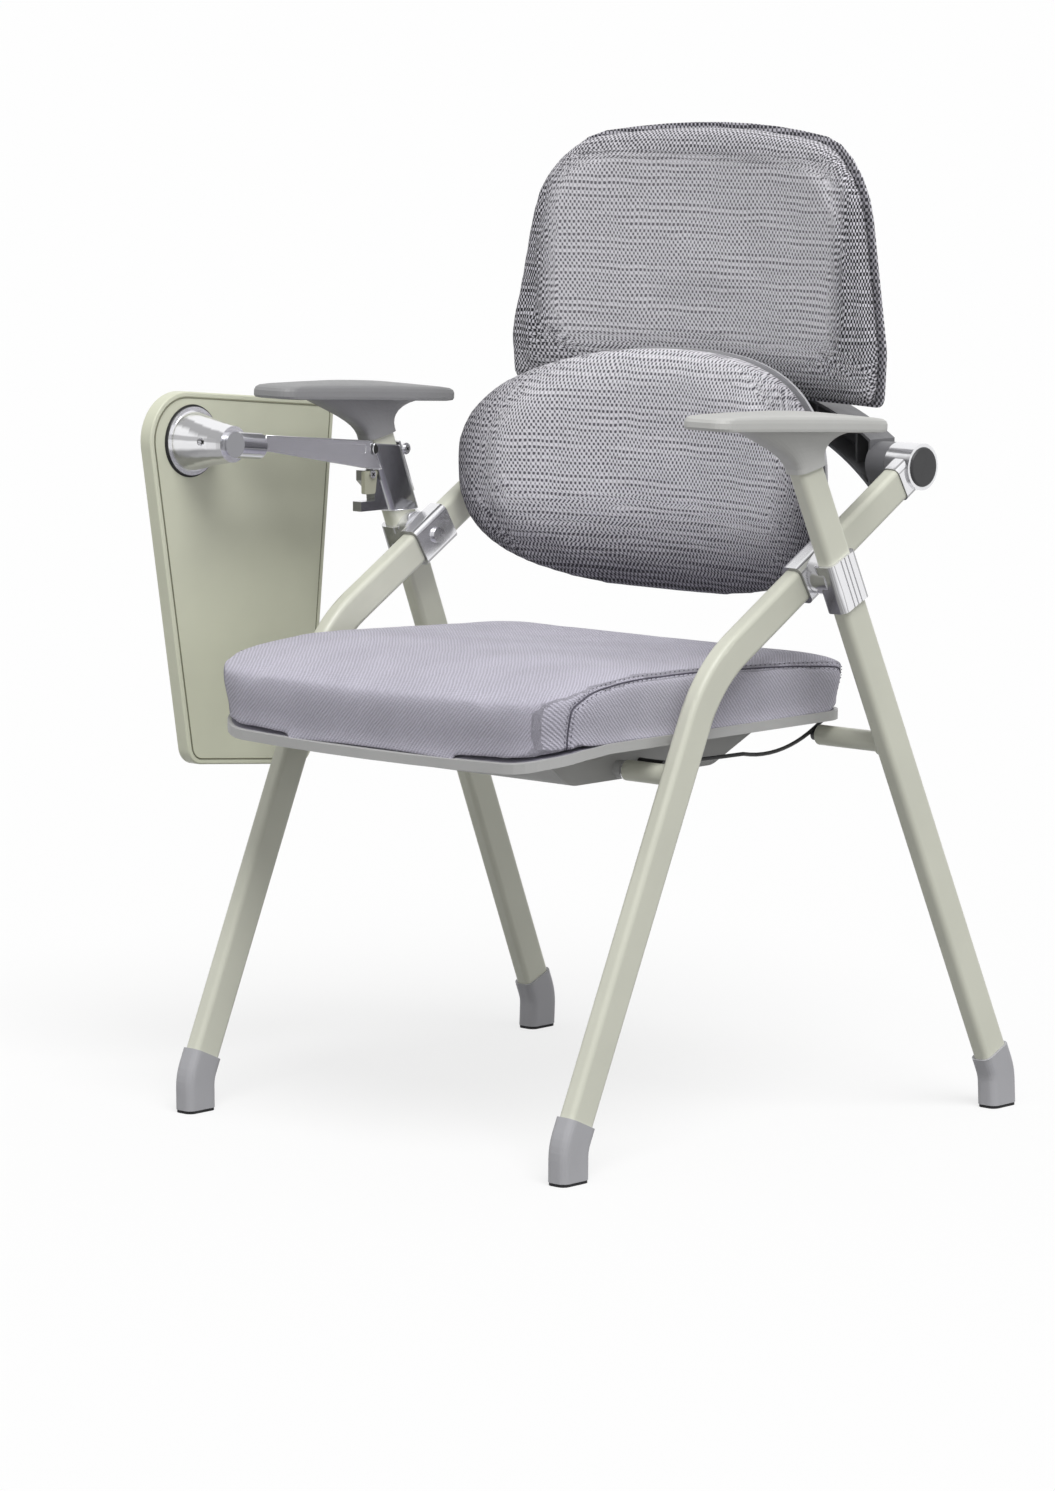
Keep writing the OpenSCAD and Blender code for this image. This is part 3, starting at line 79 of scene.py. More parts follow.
# Corners sharper than these angles in degrees are shaded sharp
SHARP_ANGLE = 35
CAST_SHARP_ANGLE = 32


def spot(x, y, z):
    """A place measured in millimetres from the middle plane and the front feet."""
    return Vector((x / 1000 + MIDDLE_X, y / 1000 + FEET_Y, z / 1000))


# Colours are written as they look on a screen
def linear(value):
    """The light behind one of a screen colour's three numbers, 0 to 255."""
    value = value / 255
    if value <= 0.04045:
        return value / 12.92
    return ((value + 0.055) / 1.055) ** 2.4


def rgb(red, green, blue):
    """A shader colour from a screen colour."""
    return (linear(red), linear(green), linear(blue), 1)


# Camera, at the photograph's angle
def make_camera():
    data = bpy.data.cameras.new("camera")
    camera = bpy.data.objects.new("camera", data)
    scene.collection.objects.link(camera)
    ahead = Vector((-0.6756, 0.7245, -0.1366)).normalized()
    up = Vector((-0.0932, 0.0999, 0.9906))
    right = ahead.cross(up).normalized()
    up = right.cross(ahead)
    turn = Matrix((right, up, -ahead)).transposed()
    camera.matrix_world = Matrix.Translation((3.8665, -4.1856, 1.144)) @ turn.to_4x4()
    data.sensor_width = 36
    data.lens = 140.02
    data.clip_end = 400
    scene.camera = camera


make_camera()


# Materials
class Paint:
    """A material with its shader, and short names for the nodes it is made of."""

    def __init__(self, name, colour, rough, metal=0.0, specular=0.5):
        self.made = bpy.data.materials.new(name)
        self.made.use_nodes = True
        self.tree = self.made.node_tree
        self.shader = self.tree.nodes["Principled BSDF"]
        self.shader.inputs["Base Color"].default_value = colour
        self.shader.inputs["Roughness"].default_value = rough
        self.shader.inputs["Metallic"].default_value = metal
        self.shader.inputs["Specular IOR Level"].default_value = specular
        self.place = None
        self.height = None

    def node(self, kind, **values):
        made = self.tree.nodes.new(kind)
        for key, value in values.items():
            setattr(made, key, value)
        return made

    def link(self, source, target):
        self.tree.links.new(source, target)

    def where(self):
        if self.place is None:
            self.place = self.node("ShaderNodeTexCoord").outputs["Object"]
        return self.place

    def noise(self, scale, detail=2.0, rough=0.5, place=None):
        made = self.node("ShaderNodeTexNoise")
        made.inputs["Scale"].default_value = scale
        made.inputs["Detail"].default_value = detail
        made.inputs["Roughness"].default_value = rough
        self.link(place or self.where(), made.inputs["Vector"])
        return made.outputs["Fac"]

    def math(self, kind, first, second=None):
        made = self.node("ShaderNodeMath", operation=kind)
        for socket, value in zip(made.inputs, (first, second)):
            if value is None:
                continue
            if isinstance(value, (int, float)):
                socket.default_value = value
            else:
                self.link(value, socket)
        return made.outputs[0]

    def ramp(self, value, low, high, out_low=0.0, out_high=1.0):
        made = self.node("ShaderNodeMapRange", interpolation_type="SMOOTHSTEP")
        self.link(value, made.inputs["Value"])
        for key, number in (("From Min", low), ("From Max", high),
                            ("To Min", out_low), ("To Max", out_high)):
            if isinstance(number, (int, float)):
                made.inputs[key].default_value = number
            else:
                self.link(number, made.inputs[key])
        return made.outputs["Result"]

    def mix(self, share, first, second):
        made = self.node("ShaderNodeMix", data_type="RGBA")
        self.link(share, made.inputs["Factor"])
        first_colour, second_colour, mixed = made.inputs[6], made.inputs[7], made.outputs[2]
        for socket, value in ((first_colour, first), (second_colour, second)):
            if isinstance(value, tuple):
                socket.default_value = value
            else:
                self.link(value, socket)
        return mixed

    def tint(self, colour):
        self.link(colour, self.shader.inputs["Base Color"])

    def bump(self, height, depth, strength=1.0):
        made = self.node("ShaderNodeBump")
        made.inputs["Strength"].default_value = strength
        made.inputs["Distance"].default_value = depth
        self.link(height, made.inputs["Height"])
        if self.height is not None:
            self.link(self.height, made.inputs["Normal"])
        self.height = made.outputs["Normal"]
        self.link(self.height, self.shader.inputs["Normal"])

    def rough(self, value):
        self.link(value, self.shader.inputs["Roughness"])


def shade(colour, share):
    """A lighter or darker colour."""
    return tuple(c * share for c in colour[:3]) + (1,)


def moulded(name, colour, rough, grain, depth, change):
    """Moulded or painted surface: faint clouding, fine grain and uneven gloss."""
    paint = Paint(name, colour, rough)
    cloud = paint.noise(9, 3)
    paint.tint(paint.mix(paint.ramp(cloud, 0.3, 0.7),
                         shade(colour, 1 - change), shade(colour, 1 + change)))
    paint.bump(paint.noise(grain, 2), depth)
    paint.rough(paint.ramp(paint.noise(60, 4), 0.3, 0.7, rough - 0.05, rough + 0.06))
    return paint


def metal(name, colour, rough, painted_reflections, metallic=1.0):
    """Polished or plated metal: soft smears, a faint grain and painted reflections.

    Each painted reflection is a darker band of the colour where the surface faces one way,
    standing in for dark surroundings mirrored in the metal. It is a direction, the cosine to
    it at which the band runs, its half width, and the share of the colour that is left there.
    """
    paint = Paint(name, colour, rough, metal=metallic)
    smear = paint.noise(34, 5, 0.6)
    paint.rough(paint.ramp(smear, 0.35, 0.75, rough, rough + 0.1))
    paint.bump(paint.noise(420, 3), 0.00002)
    # Painted reflections: the colour darkens in bands by the way the surface faces, standing in
    # for dark surroundings mirrored in the metal.
    facing = paint.node("ShaderNodeNewGeometry").outputs["Normal"]
    wander = paint.math("MULTIPLY", paint.math("SUBTRACT", paint.noise(26, 2), 0.5), 0.16)
    mixed = colour
    for direction, centre, half, left in painted_reflections:
        turned = paint.node("ShaderNodeVectorMath", operation="DOT_PRODUCT")
        paint.link(facing, turned.inputs[0])
        turned.inputs[1].default_value = Vector(direction).normalized()
        cosine = paint.math("ADD", turned.outputs["Value"], wander)
        away = paint.math("ABSOLUTE", paint.math("SUBTRACT", cosine, centre))
        reflection_mask = paint.ramp(away, half * 0.4, half, 1.0, 0.0)
        mixed = paint.mix(reflection_mask, mixed, shade(colour, left))
    paint.tint(mixed)
    return paint


def laid_weave(paint):
    """The place in the rows of a pad's cloth, and its share of the rim, which also carries
    painted shade low on the pads.
    """
    place = paint.node("ShaderNodeAttribute", attribute_name="weave").outputs["Vector"]
    parts = paint.node("ShaderNodeSeparateXYZ")
    paint.link(place, parts.inputs[0])
    return place, parts.outputs[0], parts.outputs[1], parts.outputs[2]


def wrapped_weave(paint):
    """Rows that run level round a whole piece, nearly all of it rim."""
    parts = paint.node("ShaderNodeSeparateXYZ")
    paint.link(paint.where(), parts.inputs[0])
    across = paint.math("ADD", parts.outputs[0], parts.outputs[1])
    rim = paint.node("ShaderNodeValue")
    rim.outputs[0].default_value = 0.8
    return paint.where(), across, parts.outputs[2], rim.outputs[0]


# Spacing of the mesh's holes along a row, and of its rows
HOLE_PITCH = 0.0051
ROW_PITCH = 0.0066

# Spacing of the twill's slanting ribs, and of the steps across them
RIB_PITCH = 0.0042
STEP_PITCH = 0.0031


def mesh_fabric(name, thread, hole, rim_thread, rim_hole, laid=laid_weave):
    """Knitted mesh: staggered rows of small holes, wider and darker towards the rim. The holes
    are painted dark as shade seen through them, the yarn dims towards them as painted shade,
    and the rim colours also serve as painted shade where a pad's weave marks it.
    """
    paint = Paint(name, thread, 0.85, specular=0.2)
    paint.shader.inputs["Sheen Weight"].default_value = 0.1
    place, level, rise, rim = laid(paint)
    wander = paint.math("SUBTRACT", paint.noise(16, 2, 0.5, place), 0.5)
    across = paint.math("ADD", level, paint.math("MULTIPLY", wander, 0.012))
    upward = paint.math("ADD", rise, paint.math("MULTIPLY", wander, 0.006))
    first = paint.math("SINE", paint.math("MULTIPLY", across, math.tau / HOLE_PITCH))
    second = paint.math("SINE", paint.math("MULTIPLY", upward, math.tau / ROW_PITCH))
    cells = paint.math("MULTIPLY", first, second)
    uneven = paint.math("SUBTRACT", paint.noise(230, 2, 0.5, place), 0.5)
    cells = paint.math("ADD", cells, paint.math("MULTIPLY", uneven, 0.8))
    stretched = paint.node("ShaderNodeVectorMath", operation="MULTIPLY")
    paint.link(place, stretched.inputs[0])
    stretched.inputs[1].default_value = (1, 9, 1)
    patches = paint.ramp(paint.noise(9, 3, 0.5, stretched.outputs[0]), 0.35, 0.65, 0.0, 0.6)
    cells = paint.math("ADD", cells, paint.math("MULTIPLY", second, patches))
    low = paint.ramp(rim, 0.0, 1.0, 0.05, -0.3)
    high = paint.ramp(rim, 0.0, 1.0, 0.6, 0.3)
    holes = paint.ramp(cells, low, high)
    # Painted shade: the holes are coloured dark for the shade seen through them, and the yarn
    # dims towards them.
    hole_shade_colour = paint.mix(rim, hole, rim_hole)
    yarn = paint.mix(rim, thread, rim_thread)
    dim = paint.mix(rim, shade(thread, 0.8), shade(rim_thread, 0.75))
    lit = paint.mix(paint.ramp(cells, -1.1, 0.1), yarn, dim)
    paint.tint(paint.mix(holes, lit, hole_shade_colour))
    paint.bump(paint.math("SUBTRACT", 1.0, holes), 0.0008, 0.9)
    return paint


def woven(name, colour):
    """Close woven upholstery cloth with a broken twill."""
    paint = Paint(name, colour, 0.9, specular=0.2)
    paint.shader.inputs["Sheen Weight"].default_value = 0.2
    paint.shader.inputs["Sheen Roughness"].default_value = 0.5
    place, across, along, _ = laid_weave(paint)
    wander = paint.math("MULTIPLY", paint.noise(60, 2, 0.5, place), 0.004)
    slant = paint.math("ADD", paint.math("ADD", across, along), wander)
    other = paint.math("SUBTRACT", across, along)
    twill = paint.math("SINE", paint.math("MULTIPLY", slant, math.tau / RIB_PITCH))
    steps = paint.math("SINE", paint.math("MULTIPLY", other, math.tau / STEP_PITCH))
    stepped = paint.math("ADD", 1.0, paint.math("MULTIPLY", steps, 0.6))
    yarn = paint.math("MULTIPLY", twill, stepped)
    uneven = paint.math("SUBTRACT", paint.noise(420, 2, 0.6, place), 0.5)
    yarn = paint.math("ADD", yarn, paint.math("MULTIPLY", uneven, 2.2))
    cloud = paint.noise(14, 3, 0.5, place)
    base = paint.mix(paint.ramp(cloud, 0.3, 0.7), shade(colour, 1.02), shade(colour, 1.12))
    dark = paint.mix(paint.ramp(cloud, 0.3, 0.7), shade(colour, 0.72), shade(colour, 0.8))
    paint.tint(paint.mix(paint.ramp(yarn, -1.4, 1.4), dark, base))
    paint.bump(yarn, 0.0003, 0.7)
    return paint


TUBE = moulded("tube_paint", rgb(218, 219, 204), 0.36, 2200, 0.00004, 0.03)
BOARD = moulded("tablet_board", rgb(220, 222, 200), 0.42, 1800, 0.00005, 0.03)
BAND = moulded("tablet_band", rgb(224, 226, 204), 0.38, 1800, 0.00004, 0.03)
FEET = moulded("foot_plastic", rgb(178, 178, 182), 0.5, 1300, 0.00012, 0.05)
RUBBER = moulded("sole_rubber", rgb(32, 32, 34), 0.8, 900, 0.0002, 0.1)
CAP = moulded("cap_plastic", rgb(52, 52, 54), 0.4, 1600, 0.00006, 0.05)
ARM_LIGHT = moulded("arm_left_plastic", rgb(203, 203, 200), 0.55, 1500, 0.00012, 0.03)
ARM_DARK = moulded("arm_right_plastic", rgb(151, 151, 152), 0.55, 1500, 0.00012, 0.03)
PAN = moulded("pan_plastic", rgb(188, 188, 187), 0.5, 1400, 0.0001, 0.04)
YOKE = moulded("yoke_plastic", rgb(112, 112, 115), 0.45, 1400, 0.0001, 0.05)
SHELL = moulded("shell_plastic", rgb(186, 186, 189), 0.5, 1400, 0.0001, 0.04)
ROD = moulded("rod_paint", rgb(30, 30, 32), 0.35, 1800, 0.00003, 0.05)
PLY = moulded("stained_board", rgb(146, 144, 154), 0.7, 500, 0.0002, 0.12)
# The direction tuples below are painted reflections: darker bands where a surface faces a given
# way, standing in for dark surroundings mirrored in the metal.
ALUMINIUM = metal("polished_aluminium", (0.88, 0.88, 0.9, 1), 0.12, (
    ((0, 0, 1), -0.42, 0.28, 0.35), ((0, 0, 1), 0.2, 0.12, 0.55),
    ((0.8, -0.6, 0), 0.62, 0.12, 0.45), ((0.8, -0.6, 0), 0.92, 0.03, 0.55),
    ((0.3, 0.9, 0), 0.72, 0.14, 0.35)), 0.75)
CASTING = metal("dark_aluminium", (0.66, 0.66, 0.7, 1), 0.14, (
    ((0, 0, 1), -0.02, 0.45, 0.4), ((0, -1, 0), 0.98, 0.12, 0.45)), 0.85)
BRIGHT_CASTING = metal("bright_aluminium", (0.82, 0.82, 0.85, 1), 0.14, (
    ((0, 0, 1), 0.0, 0.5, 0.72), ((0, 0, 1), 0.9, 0.3, 0.4)), 0.8)
LEVER = moulded("lever_paint", rgb(178, 178, 158), 0.45, 1400, 0.0001, 0.05)
# Plated steel, with a painted reflection that darkens faces turned somewhat downward.
STEEL = metal("plated_steel", (0.74, 0.74, 0.76, 1), 0.22, (((0, 0, 1), -0.3, 0.3, 0.45),))
UPPER_MESH = mesh_fabric("upper_mesh", rgb(246, 244, 250), rgb(122, 120, 127),
                         rgb(234, 232, 240), rgb(36, 35, 41))
# The lumbar's dark rim yarn is partly the border's own colour and partly painted shade on its
# sides and lower edge, where the pad curves away from the light.
LUMBAR_MESH = mesh_fabric("lumbar_mesh", rgb(248, 246, 252), rgb(104, 102, 110),
                          rgb(146, 144, 152), rgb(34, 33, 39))
SHELL_MESH = mesh_fabric("shell_mesh", rgb(236, 234, 242), rgb(60, 59, 66),
                         rgb(226, 224, 232), rgb(74, 73, 80), wrapped_weave)
CLOTH = woven("seat_cloth", rgb(204, 201, 215))
# Seam thread and stitches; the dark colour is partly the thread's own and partly painted shade
# for the groove the seam lies in.
SEAM_THREAD_AND_SHADE = moulded("seam_thread_and_shade", rgb(90, 87, 100), 0.8, 2500, 0.0002, 0.08)
GAP = moulded("joint_shadow", rgb(34, 34, 33), 0.8, 900, 0.0001, 0.1)
GROOVE = moulded("groove_shadow", rgb(136, 136, 116), 0.7, 900, 0.0001, 0.1)

paints = {
    "tube_paint": TUBE, "aluminium": ALUMINIUM, "steel": STEEL, "foot_plastic": FEET,
    "rubber": RUBBER, "cap_plastic": CAP, "arm_light": ARM_LIGHT, "arm_dark": ARM_DARK,
    "tablet_sage": BOARD, "tablet_band": BAND, "pan_plastic": PAN, "plywood": PLY,
    "mesh": CLOTH, "yoke_plastic": YOKE, "shell_plastic": SHELL, "rod_steel": ROD,
}
slot_of = {part["node"]: part["material_slot"] for part in frame["record"]["subparts"]}
body_of = {name: body for body, names in frame["record"]["behaviour"]["bodies"].items()
           for name in names}


def dress(piece, paint):
    """Gives a piece one material."""
    piece.data.materials.clear()
    piece.data.materials.append(paint.made)


def smooth(piece, angle):
    piece.data.shade_smooth()
    piece.data.set_sharp_from_angle(angle=math.radians(angle))


for name, piece in nodes.items():
    dress(piece, paints[slot_of[name]])
    smooth(piece, SHARP_ANGLE)
for name in ("tablet_arm", "tablet_casting", "tablet_knuckle", "latch_hook"):
    dress(nodes[name], CASTING)
dress(nodes["latch_lever"], LEVER)
dress(nodes["lumbar_shell"], SHELL)
dress(nodes["back_shell"], SHELL_MESH)


# Upholstery
def baked(piece):
    """Applies every modifier of a piece."""
    view = bpy.context.evaluated_depsgraph_get()
    data = bpy.data.meshes.new_from_object(piece.evaluated_get(view))
    piece.modifiers.clear()
    piece.data = data


def rows_of(data, key):
    flat = np.empty(len(data.vertices) * 3)
    data.vertices.foreach_get(key, flat)
    return flat.reshape(-1, 3)


def points_of(data):
    return rows_of(data, "co")


def normals_of(data):
    return rows_of(data, "normal")


def put_points(data, points):
    data.vertices.foreach_set("co", points.astype(np.float32).ravel())
    data.update()


SWELL_STEPS = 20


def swell(piece, cap, held):
    """Blows the cloth up from inside, and keeps each point within cap of where it was."""
    before = points_of(piece.data)
    cloth = piece.modifiers.new("swell", "CLOTH")
    cloth.settings.use_pressure = True
    cloth.settings.uniform_pressure_force = 4
    cloth.settings.effector_weights.gravity = 0
    cloth.settings.tension_stiffness = 15
    cloth.settings.compression_stiffness = 15
    cloth.point_cache.frame_start = 1
    cloth.point_cache.frame_end = SWELL_STEPS
    for step in range(1, SWELL_STEPS + 1):
        scene.frame_set(step)
    view = bpy.context.evaluated_depsgraph_get()
    after = points_of(piece.evaluated_get(view).data)
    piece.modifiers.remove(cloth)
    scene.frame_set(1)
    move = after - before
    size = np.linalg.norm(move, axis=1, keepdims=True)
    move = move * np.minimum(1, cap / np.maximum(size, 1e-9))
    move = move * (1 - held)[:, None]
    put_points(piece.data, before + move)


def ease_out(piece, rounds):
    """Evens out a piece's surface."""
    ease = piece.modifiers.new("ease", "SMOOTH")
    ease.factor = 0.5
    ease.iterations = rounds


def soft_piece(node, name, voxel, start_in, cap, hold_axis, eased=3):
    """A cushion that starts from the node's own shape, slightly smaller, and swells.

    It is held flat where its surface faces along hold_axis.
    """
    data = nodes[node].data.copy()
    piece = bpy.data.objects.new(name, data)
    scene.collection.objects.link(piece)
    remesh = piece.modifiers.new("even", "REMESH")
    remesh.mode = "VOXEL"
    remesh.voxel_size = voxel
    ease_out(piece, 5)
    baked(piece)
    normals = normals_of(piece.data)
    held_from, held_fully = 0.3, 0.7
    facing = normals @ np.array(hold_axis)
    held = np.clip((facing - held_from) / (held_fully - held_from), 0, 1)
    points = points_of(piece.data) - normals * (start_in * (1 - held))[:, None]
    put_points(piece.data, points)
    swell(piece, cap, held)
    ease_out(piece, eased)
    finer = piece.modifiers.new("finer", "SUBSURF")
    finer.levels = 1
    finer.render_levels = 1
    baked(piece)
    piece.data.shade_smooth()
    return piece


def set_weave(piece, values):
    """Keeps each point's place in the rows of the cloth, and its share of the rim, which on the
    back pads also carries painted shade.
    """
    kept = piece.data.attributes.new("weave", "FLOAT_VECTOR", "POINT")
    kept.data.foreach_set("vector", values.astype(np.float32).ravel())


def rim_share(points, middle, half_width, half_height, power):
    """1 on the edge of a superellipse of the front view, less inside and more outside."""
    across = np.abs((points[:, 0] - middle.x) / half_width)
    upward = np.abs((points[:, 2] - middle.z) / half_height)
    return (across ** power + upward ** power) ** (1 / power)


def curved_weave(piece, radius, front_y, middle, half_width, half_height, power, start, end,
                 upper_rim, painted_shade_from, painted_shade_to, over_top):
    """Lays the rows of holes over a pad that curves round the sitter, and marks its rim.

    The rim begins at the share start of the superellipse and is full at end. It is weaker
    above and below than at the sides where upper_rim is below 1. Painted shade joins it: the
    share is full from the height painted_shade_from down to painted_shade_to, darkening the
    lower part of the pad where it faces down. The rows run on over the top edge where
    over_top is 1, and stay level all round where it is 0.
    """
    points = points_of(piece.data)
    side = points[:, 0] - MIDDLE_X
    axis_y = front_y - radius
    front = axis_y + np.sqrt(radius * radius - side * side)
    depth = np.maximum(points[:, 1] - front, 0)
    share = rim_share(points, middle, half_width, half_height, power)
    sideways = np.abs((points[:, 0] - middle.x) / half_width) ** power
    sideways = sideways / (np.maximum(share, 0.01) ** power)
    across = radius * np.arcsin(side / radius) + np.sign(side) * depth * sideways
    upward = points[:, 2] + np.sign(points[:, 2] - middle.z) * depth * (1 - sideways) * over_top
    rim = np.clip((share - start) / (end - start), 0, 1)
    rim = rim * (upper_rim + (1 - upper_rim) * sideways)
    # Painted shade: the lower part of the pad gets full rim share, so it takes the rim's darker
    # colours.
    low = np.clip((painted_shade_from - points[:, 2]) / (painted_shade_from - painted_shade_to), 0, 1)
    set_weave(piece, np.stack([across, upward, np.maximum(rim, low)], axis=1))


def upholstered(piece, paint, body, node):
    """Puts a finished cushion in its node's place."""
    dress(piece, paint)
    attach(piece, body)
    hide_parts(node)


def make_upper_pad():
    piece = soft_piece("upper_back_pad", "upper_back_cushion", voxel=0.005, start_in=0.0015,
                       cap=0.0025, hold_axis=(0, 1, 0))
    curved_weave(piece, radius=0.736, front_y=spot(0, 474, 0).y, middle=spot(0, 0, 837),
                 half_width=0.190, half_height=0.096, power=7, start=0.95, end=1.08,
                 upper_rim=0.5, painted_shade_from=0.760, painted_shade_to=0.700, over_top=1.0)
    upholstered(piece, UPPER_MESH, "back", "upper_back_pad")


def make_lumbar_pad():
    piece = soft_piece("lumbar_pad", "lumbar_cushion", voxel=0.005, start_in=0.002,
                       cap=0.004, hold_axis=(0, 1, 0))
    curved_weave(piece, radius=0.467, front_y=spot(0, 401, 0).y, middle=spot(0, 0, 640),
                 half_width=0.24, half_height=0.14, power=2.3, start=0.74, end=1.06,
                 upper_rim=1.0, painted_shade_from=0.600, painted_shade_to=0.510, over_top=0.0)
    upholstered(piece, LUMBAR_MESH, "back", "lumbar_pad")


def low_height(y):
    """Height of the seat cushion's underside."""
    return LOW_Z - LOW_DROOP * np.maximum(0, LOW_KNEE_Y - y) ** 2


def top_height(y):
    """Height of the seat cushion's top edge."""
    fall = TOP_FALL * np.maximum(0, y - TOP_KNEE_Y) ** 2
    return TOP_Z - fall - TOP_DROOP * np.maximum(0, TOP_KNEE_Y - y) ** 2


SEAM_POINTS = 150


def seam_route(side):
    """The side panel's seam: up the front corner, back along the top edge, and down.

    Each place has its x, its y, and its share of the cushion's height there.
    """
    front_x, side_x, rear_x = 228, 238, 236
    rear_y = 434
    route = []
    for share in (0.02, 0.2, 0.4, 0.6, 0.75):
        route.append((front_x, 27 + 6 * share ** 3, share))
    for y, share in ((36, 0.87), (46, 0.94), (60, 0.97), (80, 0.98), (110, 0.985), (150, 0.985),
                     (200, 0.985), (250, 0.985), (300, 0.985), (350, 0.985), (395, 0.97),
                     (420, 0.93), (431, 0.83)):
        route.append((side_x, y, share))
    for share in (0.7, 0.5, 0.3, 0.1):
        route.append((rear_x, rear_y, share))
    return [(side * x, y, share) for x, y, share in route]


def finer_route(route, count):
    """Even points along a smooth curve through the given ones."""
    rough = np.array(route, dtype=float)
    usual_height = 60
    moves = np.diff(rough * [1, 1, usual_height], axis=0)
    steps = np.concatenate([[0], np.cumsum(np.linalg.norm(moves, axis=1))])
    wanted = np.linspace(0, steps[-1], count)
    even = np.stack([np.interp(wanted, steps, rough[:, k]) for k in range(3)], axis=1)
    for _ in range(3):
        even[1:-1] = (even[:-2] + 2 * even[1:-1] + even[2:]) / 4
    return even


def seam_points(piece, side):
    """Places on the cushion's surface along the seam, with the surface's direction there."""
    tree = BVHTree.FromObject(piece, bpy.context.evaluated_depsgraph_get())
    inside_x, inwards = 150, 0.8
    found = []
    for x, y, share in finer_route(seam_route(side), SEAM_POINTS):
        low = low_height(y)
        tall = top_height(y) - low
        z = low + share * tall
        inside_y = SEAT_MIDDLE_Y + (y - SEAT_MIDDLE_Y) * inwards
        start = spot(side * inside_x, inside_y, low + 0.5 * tall)
        aim = (spot(x, y, z) - start).normalized()
        place, normal, _, _ = tree.ray_cast(start, aim)
        if place is not None:
            found.append((place, normal))
    return found


def hang_skirt(piece):
    """Lowers the cushion's bottom edge round the board that carries it."""
    reach, blend, top, drop = 13, 6, 22, 0.014
    points = points_of(piece.data)
    side = (points[:, 0] - MIDDLE_X) * 1000
    y = (points[:, 1] - FEET_Y) * 1000
    z = points[:, 2].copy()
    height = z * 1000 - low_height(y)
    bow = SEAT_FRONT_BOW * (1 - (side / SEAT_HALF_WIDTH) ** 2)
    front = SEAT_MIDDLE_Y - SEAT_HALF_DEPTH - bow
    rear = SEAT_MIDDLE_Y + SEAT_HALF_DEPTH
    corner = np.where(y < SEAT_MIDDLE_Y, FRONT_CORNER, REAR_CORNER)
    over_x = np.abs(side) - (SEAT_HALF_WIDTH - corner)
    over_y = np.abs(y - (front + rear) / 2) - ((rear - front) / 2 - corner)
    outside = np.hypot(np.maximum(over_x, 0), np.maximum(over_y, 0))
    away = corner - outside - np.minimum(np.maximum(over_x, over_y), 0)
    near = np.clip((reach - away) / blend, 0, 1)
    low = np.clip(1 - height / top, 0, 1)
    lowest = np.minimum((low_height(y) - SKIRT_HANG) / 1000, z)
    lowered = np.maximum(z - drop * near * low, lowest)
    points[:, 2] = np.where(near * low > 0, lowered, z)
    put_points(piece.data, points)


def press_seam(piece, places, width, depth):
    """Presses a groove into the cushion along the seam."""
    points = points_of(piece.data)
    normals = normals_of(piece.data)
    line = np.array([list(place) for place, _ in places])
    near = np.full(len(points), 1.0)
    batch = 20000
    for start in range(0, len(points), batch):
        part = points[start:start + batch]
        gap = np.linalg.norm(part[:, None, :] - line[None, :, :], axis=2).min(axis=1)
        near[start:start + batch] = gap
    push = depth * np.exp(-(near / width) ** 2)
    put_points(piece.data, points - normals * push[:, None])


def added(name, data, paint, body):
    """Puts a new piece in the scene, on a body and in a material slot."""
    piece = bpy.data.objects.new(name, data)
    scene.collection.objects.link(piece)
    data.materials.append(paint.made)
    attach(piece, body)


def thin_line(name, points, radius, paint, body, cyclic=False):
    """A thin round line through the given points."""
    data = bpy.data.curves.new(name, "CURVE")
    data.dimensions = "3D"
    data.bevel_depth = radius
    data.bevel_resolution = 2
    spline = data.splines.new("POLY")
    spline.points.add(len(points) - 1)
    for target, place in zip(spline.points, points):
        target.co = (place[0], place[1], place[2], 1)
    spline.use_cyclic_u = cyclic
    added(name, data, paint, body)


def stitches(name, places, aside, paint, body):
    """A row of short stitches beside a seam."""
    length, thickness, pitch = 0.0026, 0.001, 0.0045
    shape = bmesh.new()
    travelled = 0.0
    for (first, normal), (second, _) in zip(places, places[1:]):
        step = (second - first).length
        travelled += step
        if travelled < pitch:
            continue
        travelled = 0.0
        along = (second - first).normalized()
        across = along.cross(normal).normalized()
        middle = first + across * aside + normal * 0.0001
        turn = Matrix((along, across, normal)).transposed().to_4x4()
        ball = bmesh.ops.create_icosphere(shape, subdivisions=1, radius=1.0)
        size = Matrix.Diagonal((length / 2, thickness / 2, thickness / 2, 1))
        bmesh.ops.transform(shape, matrix=Matrix.Translation(middle) @ turn @ size,
                            verts=ball["verts"])
    data = bpy.data.meshes.new(name)
    shape.to_mesh(data)
    shape.free()
    data.shade_smooth()
    added(name, data, paint, body)


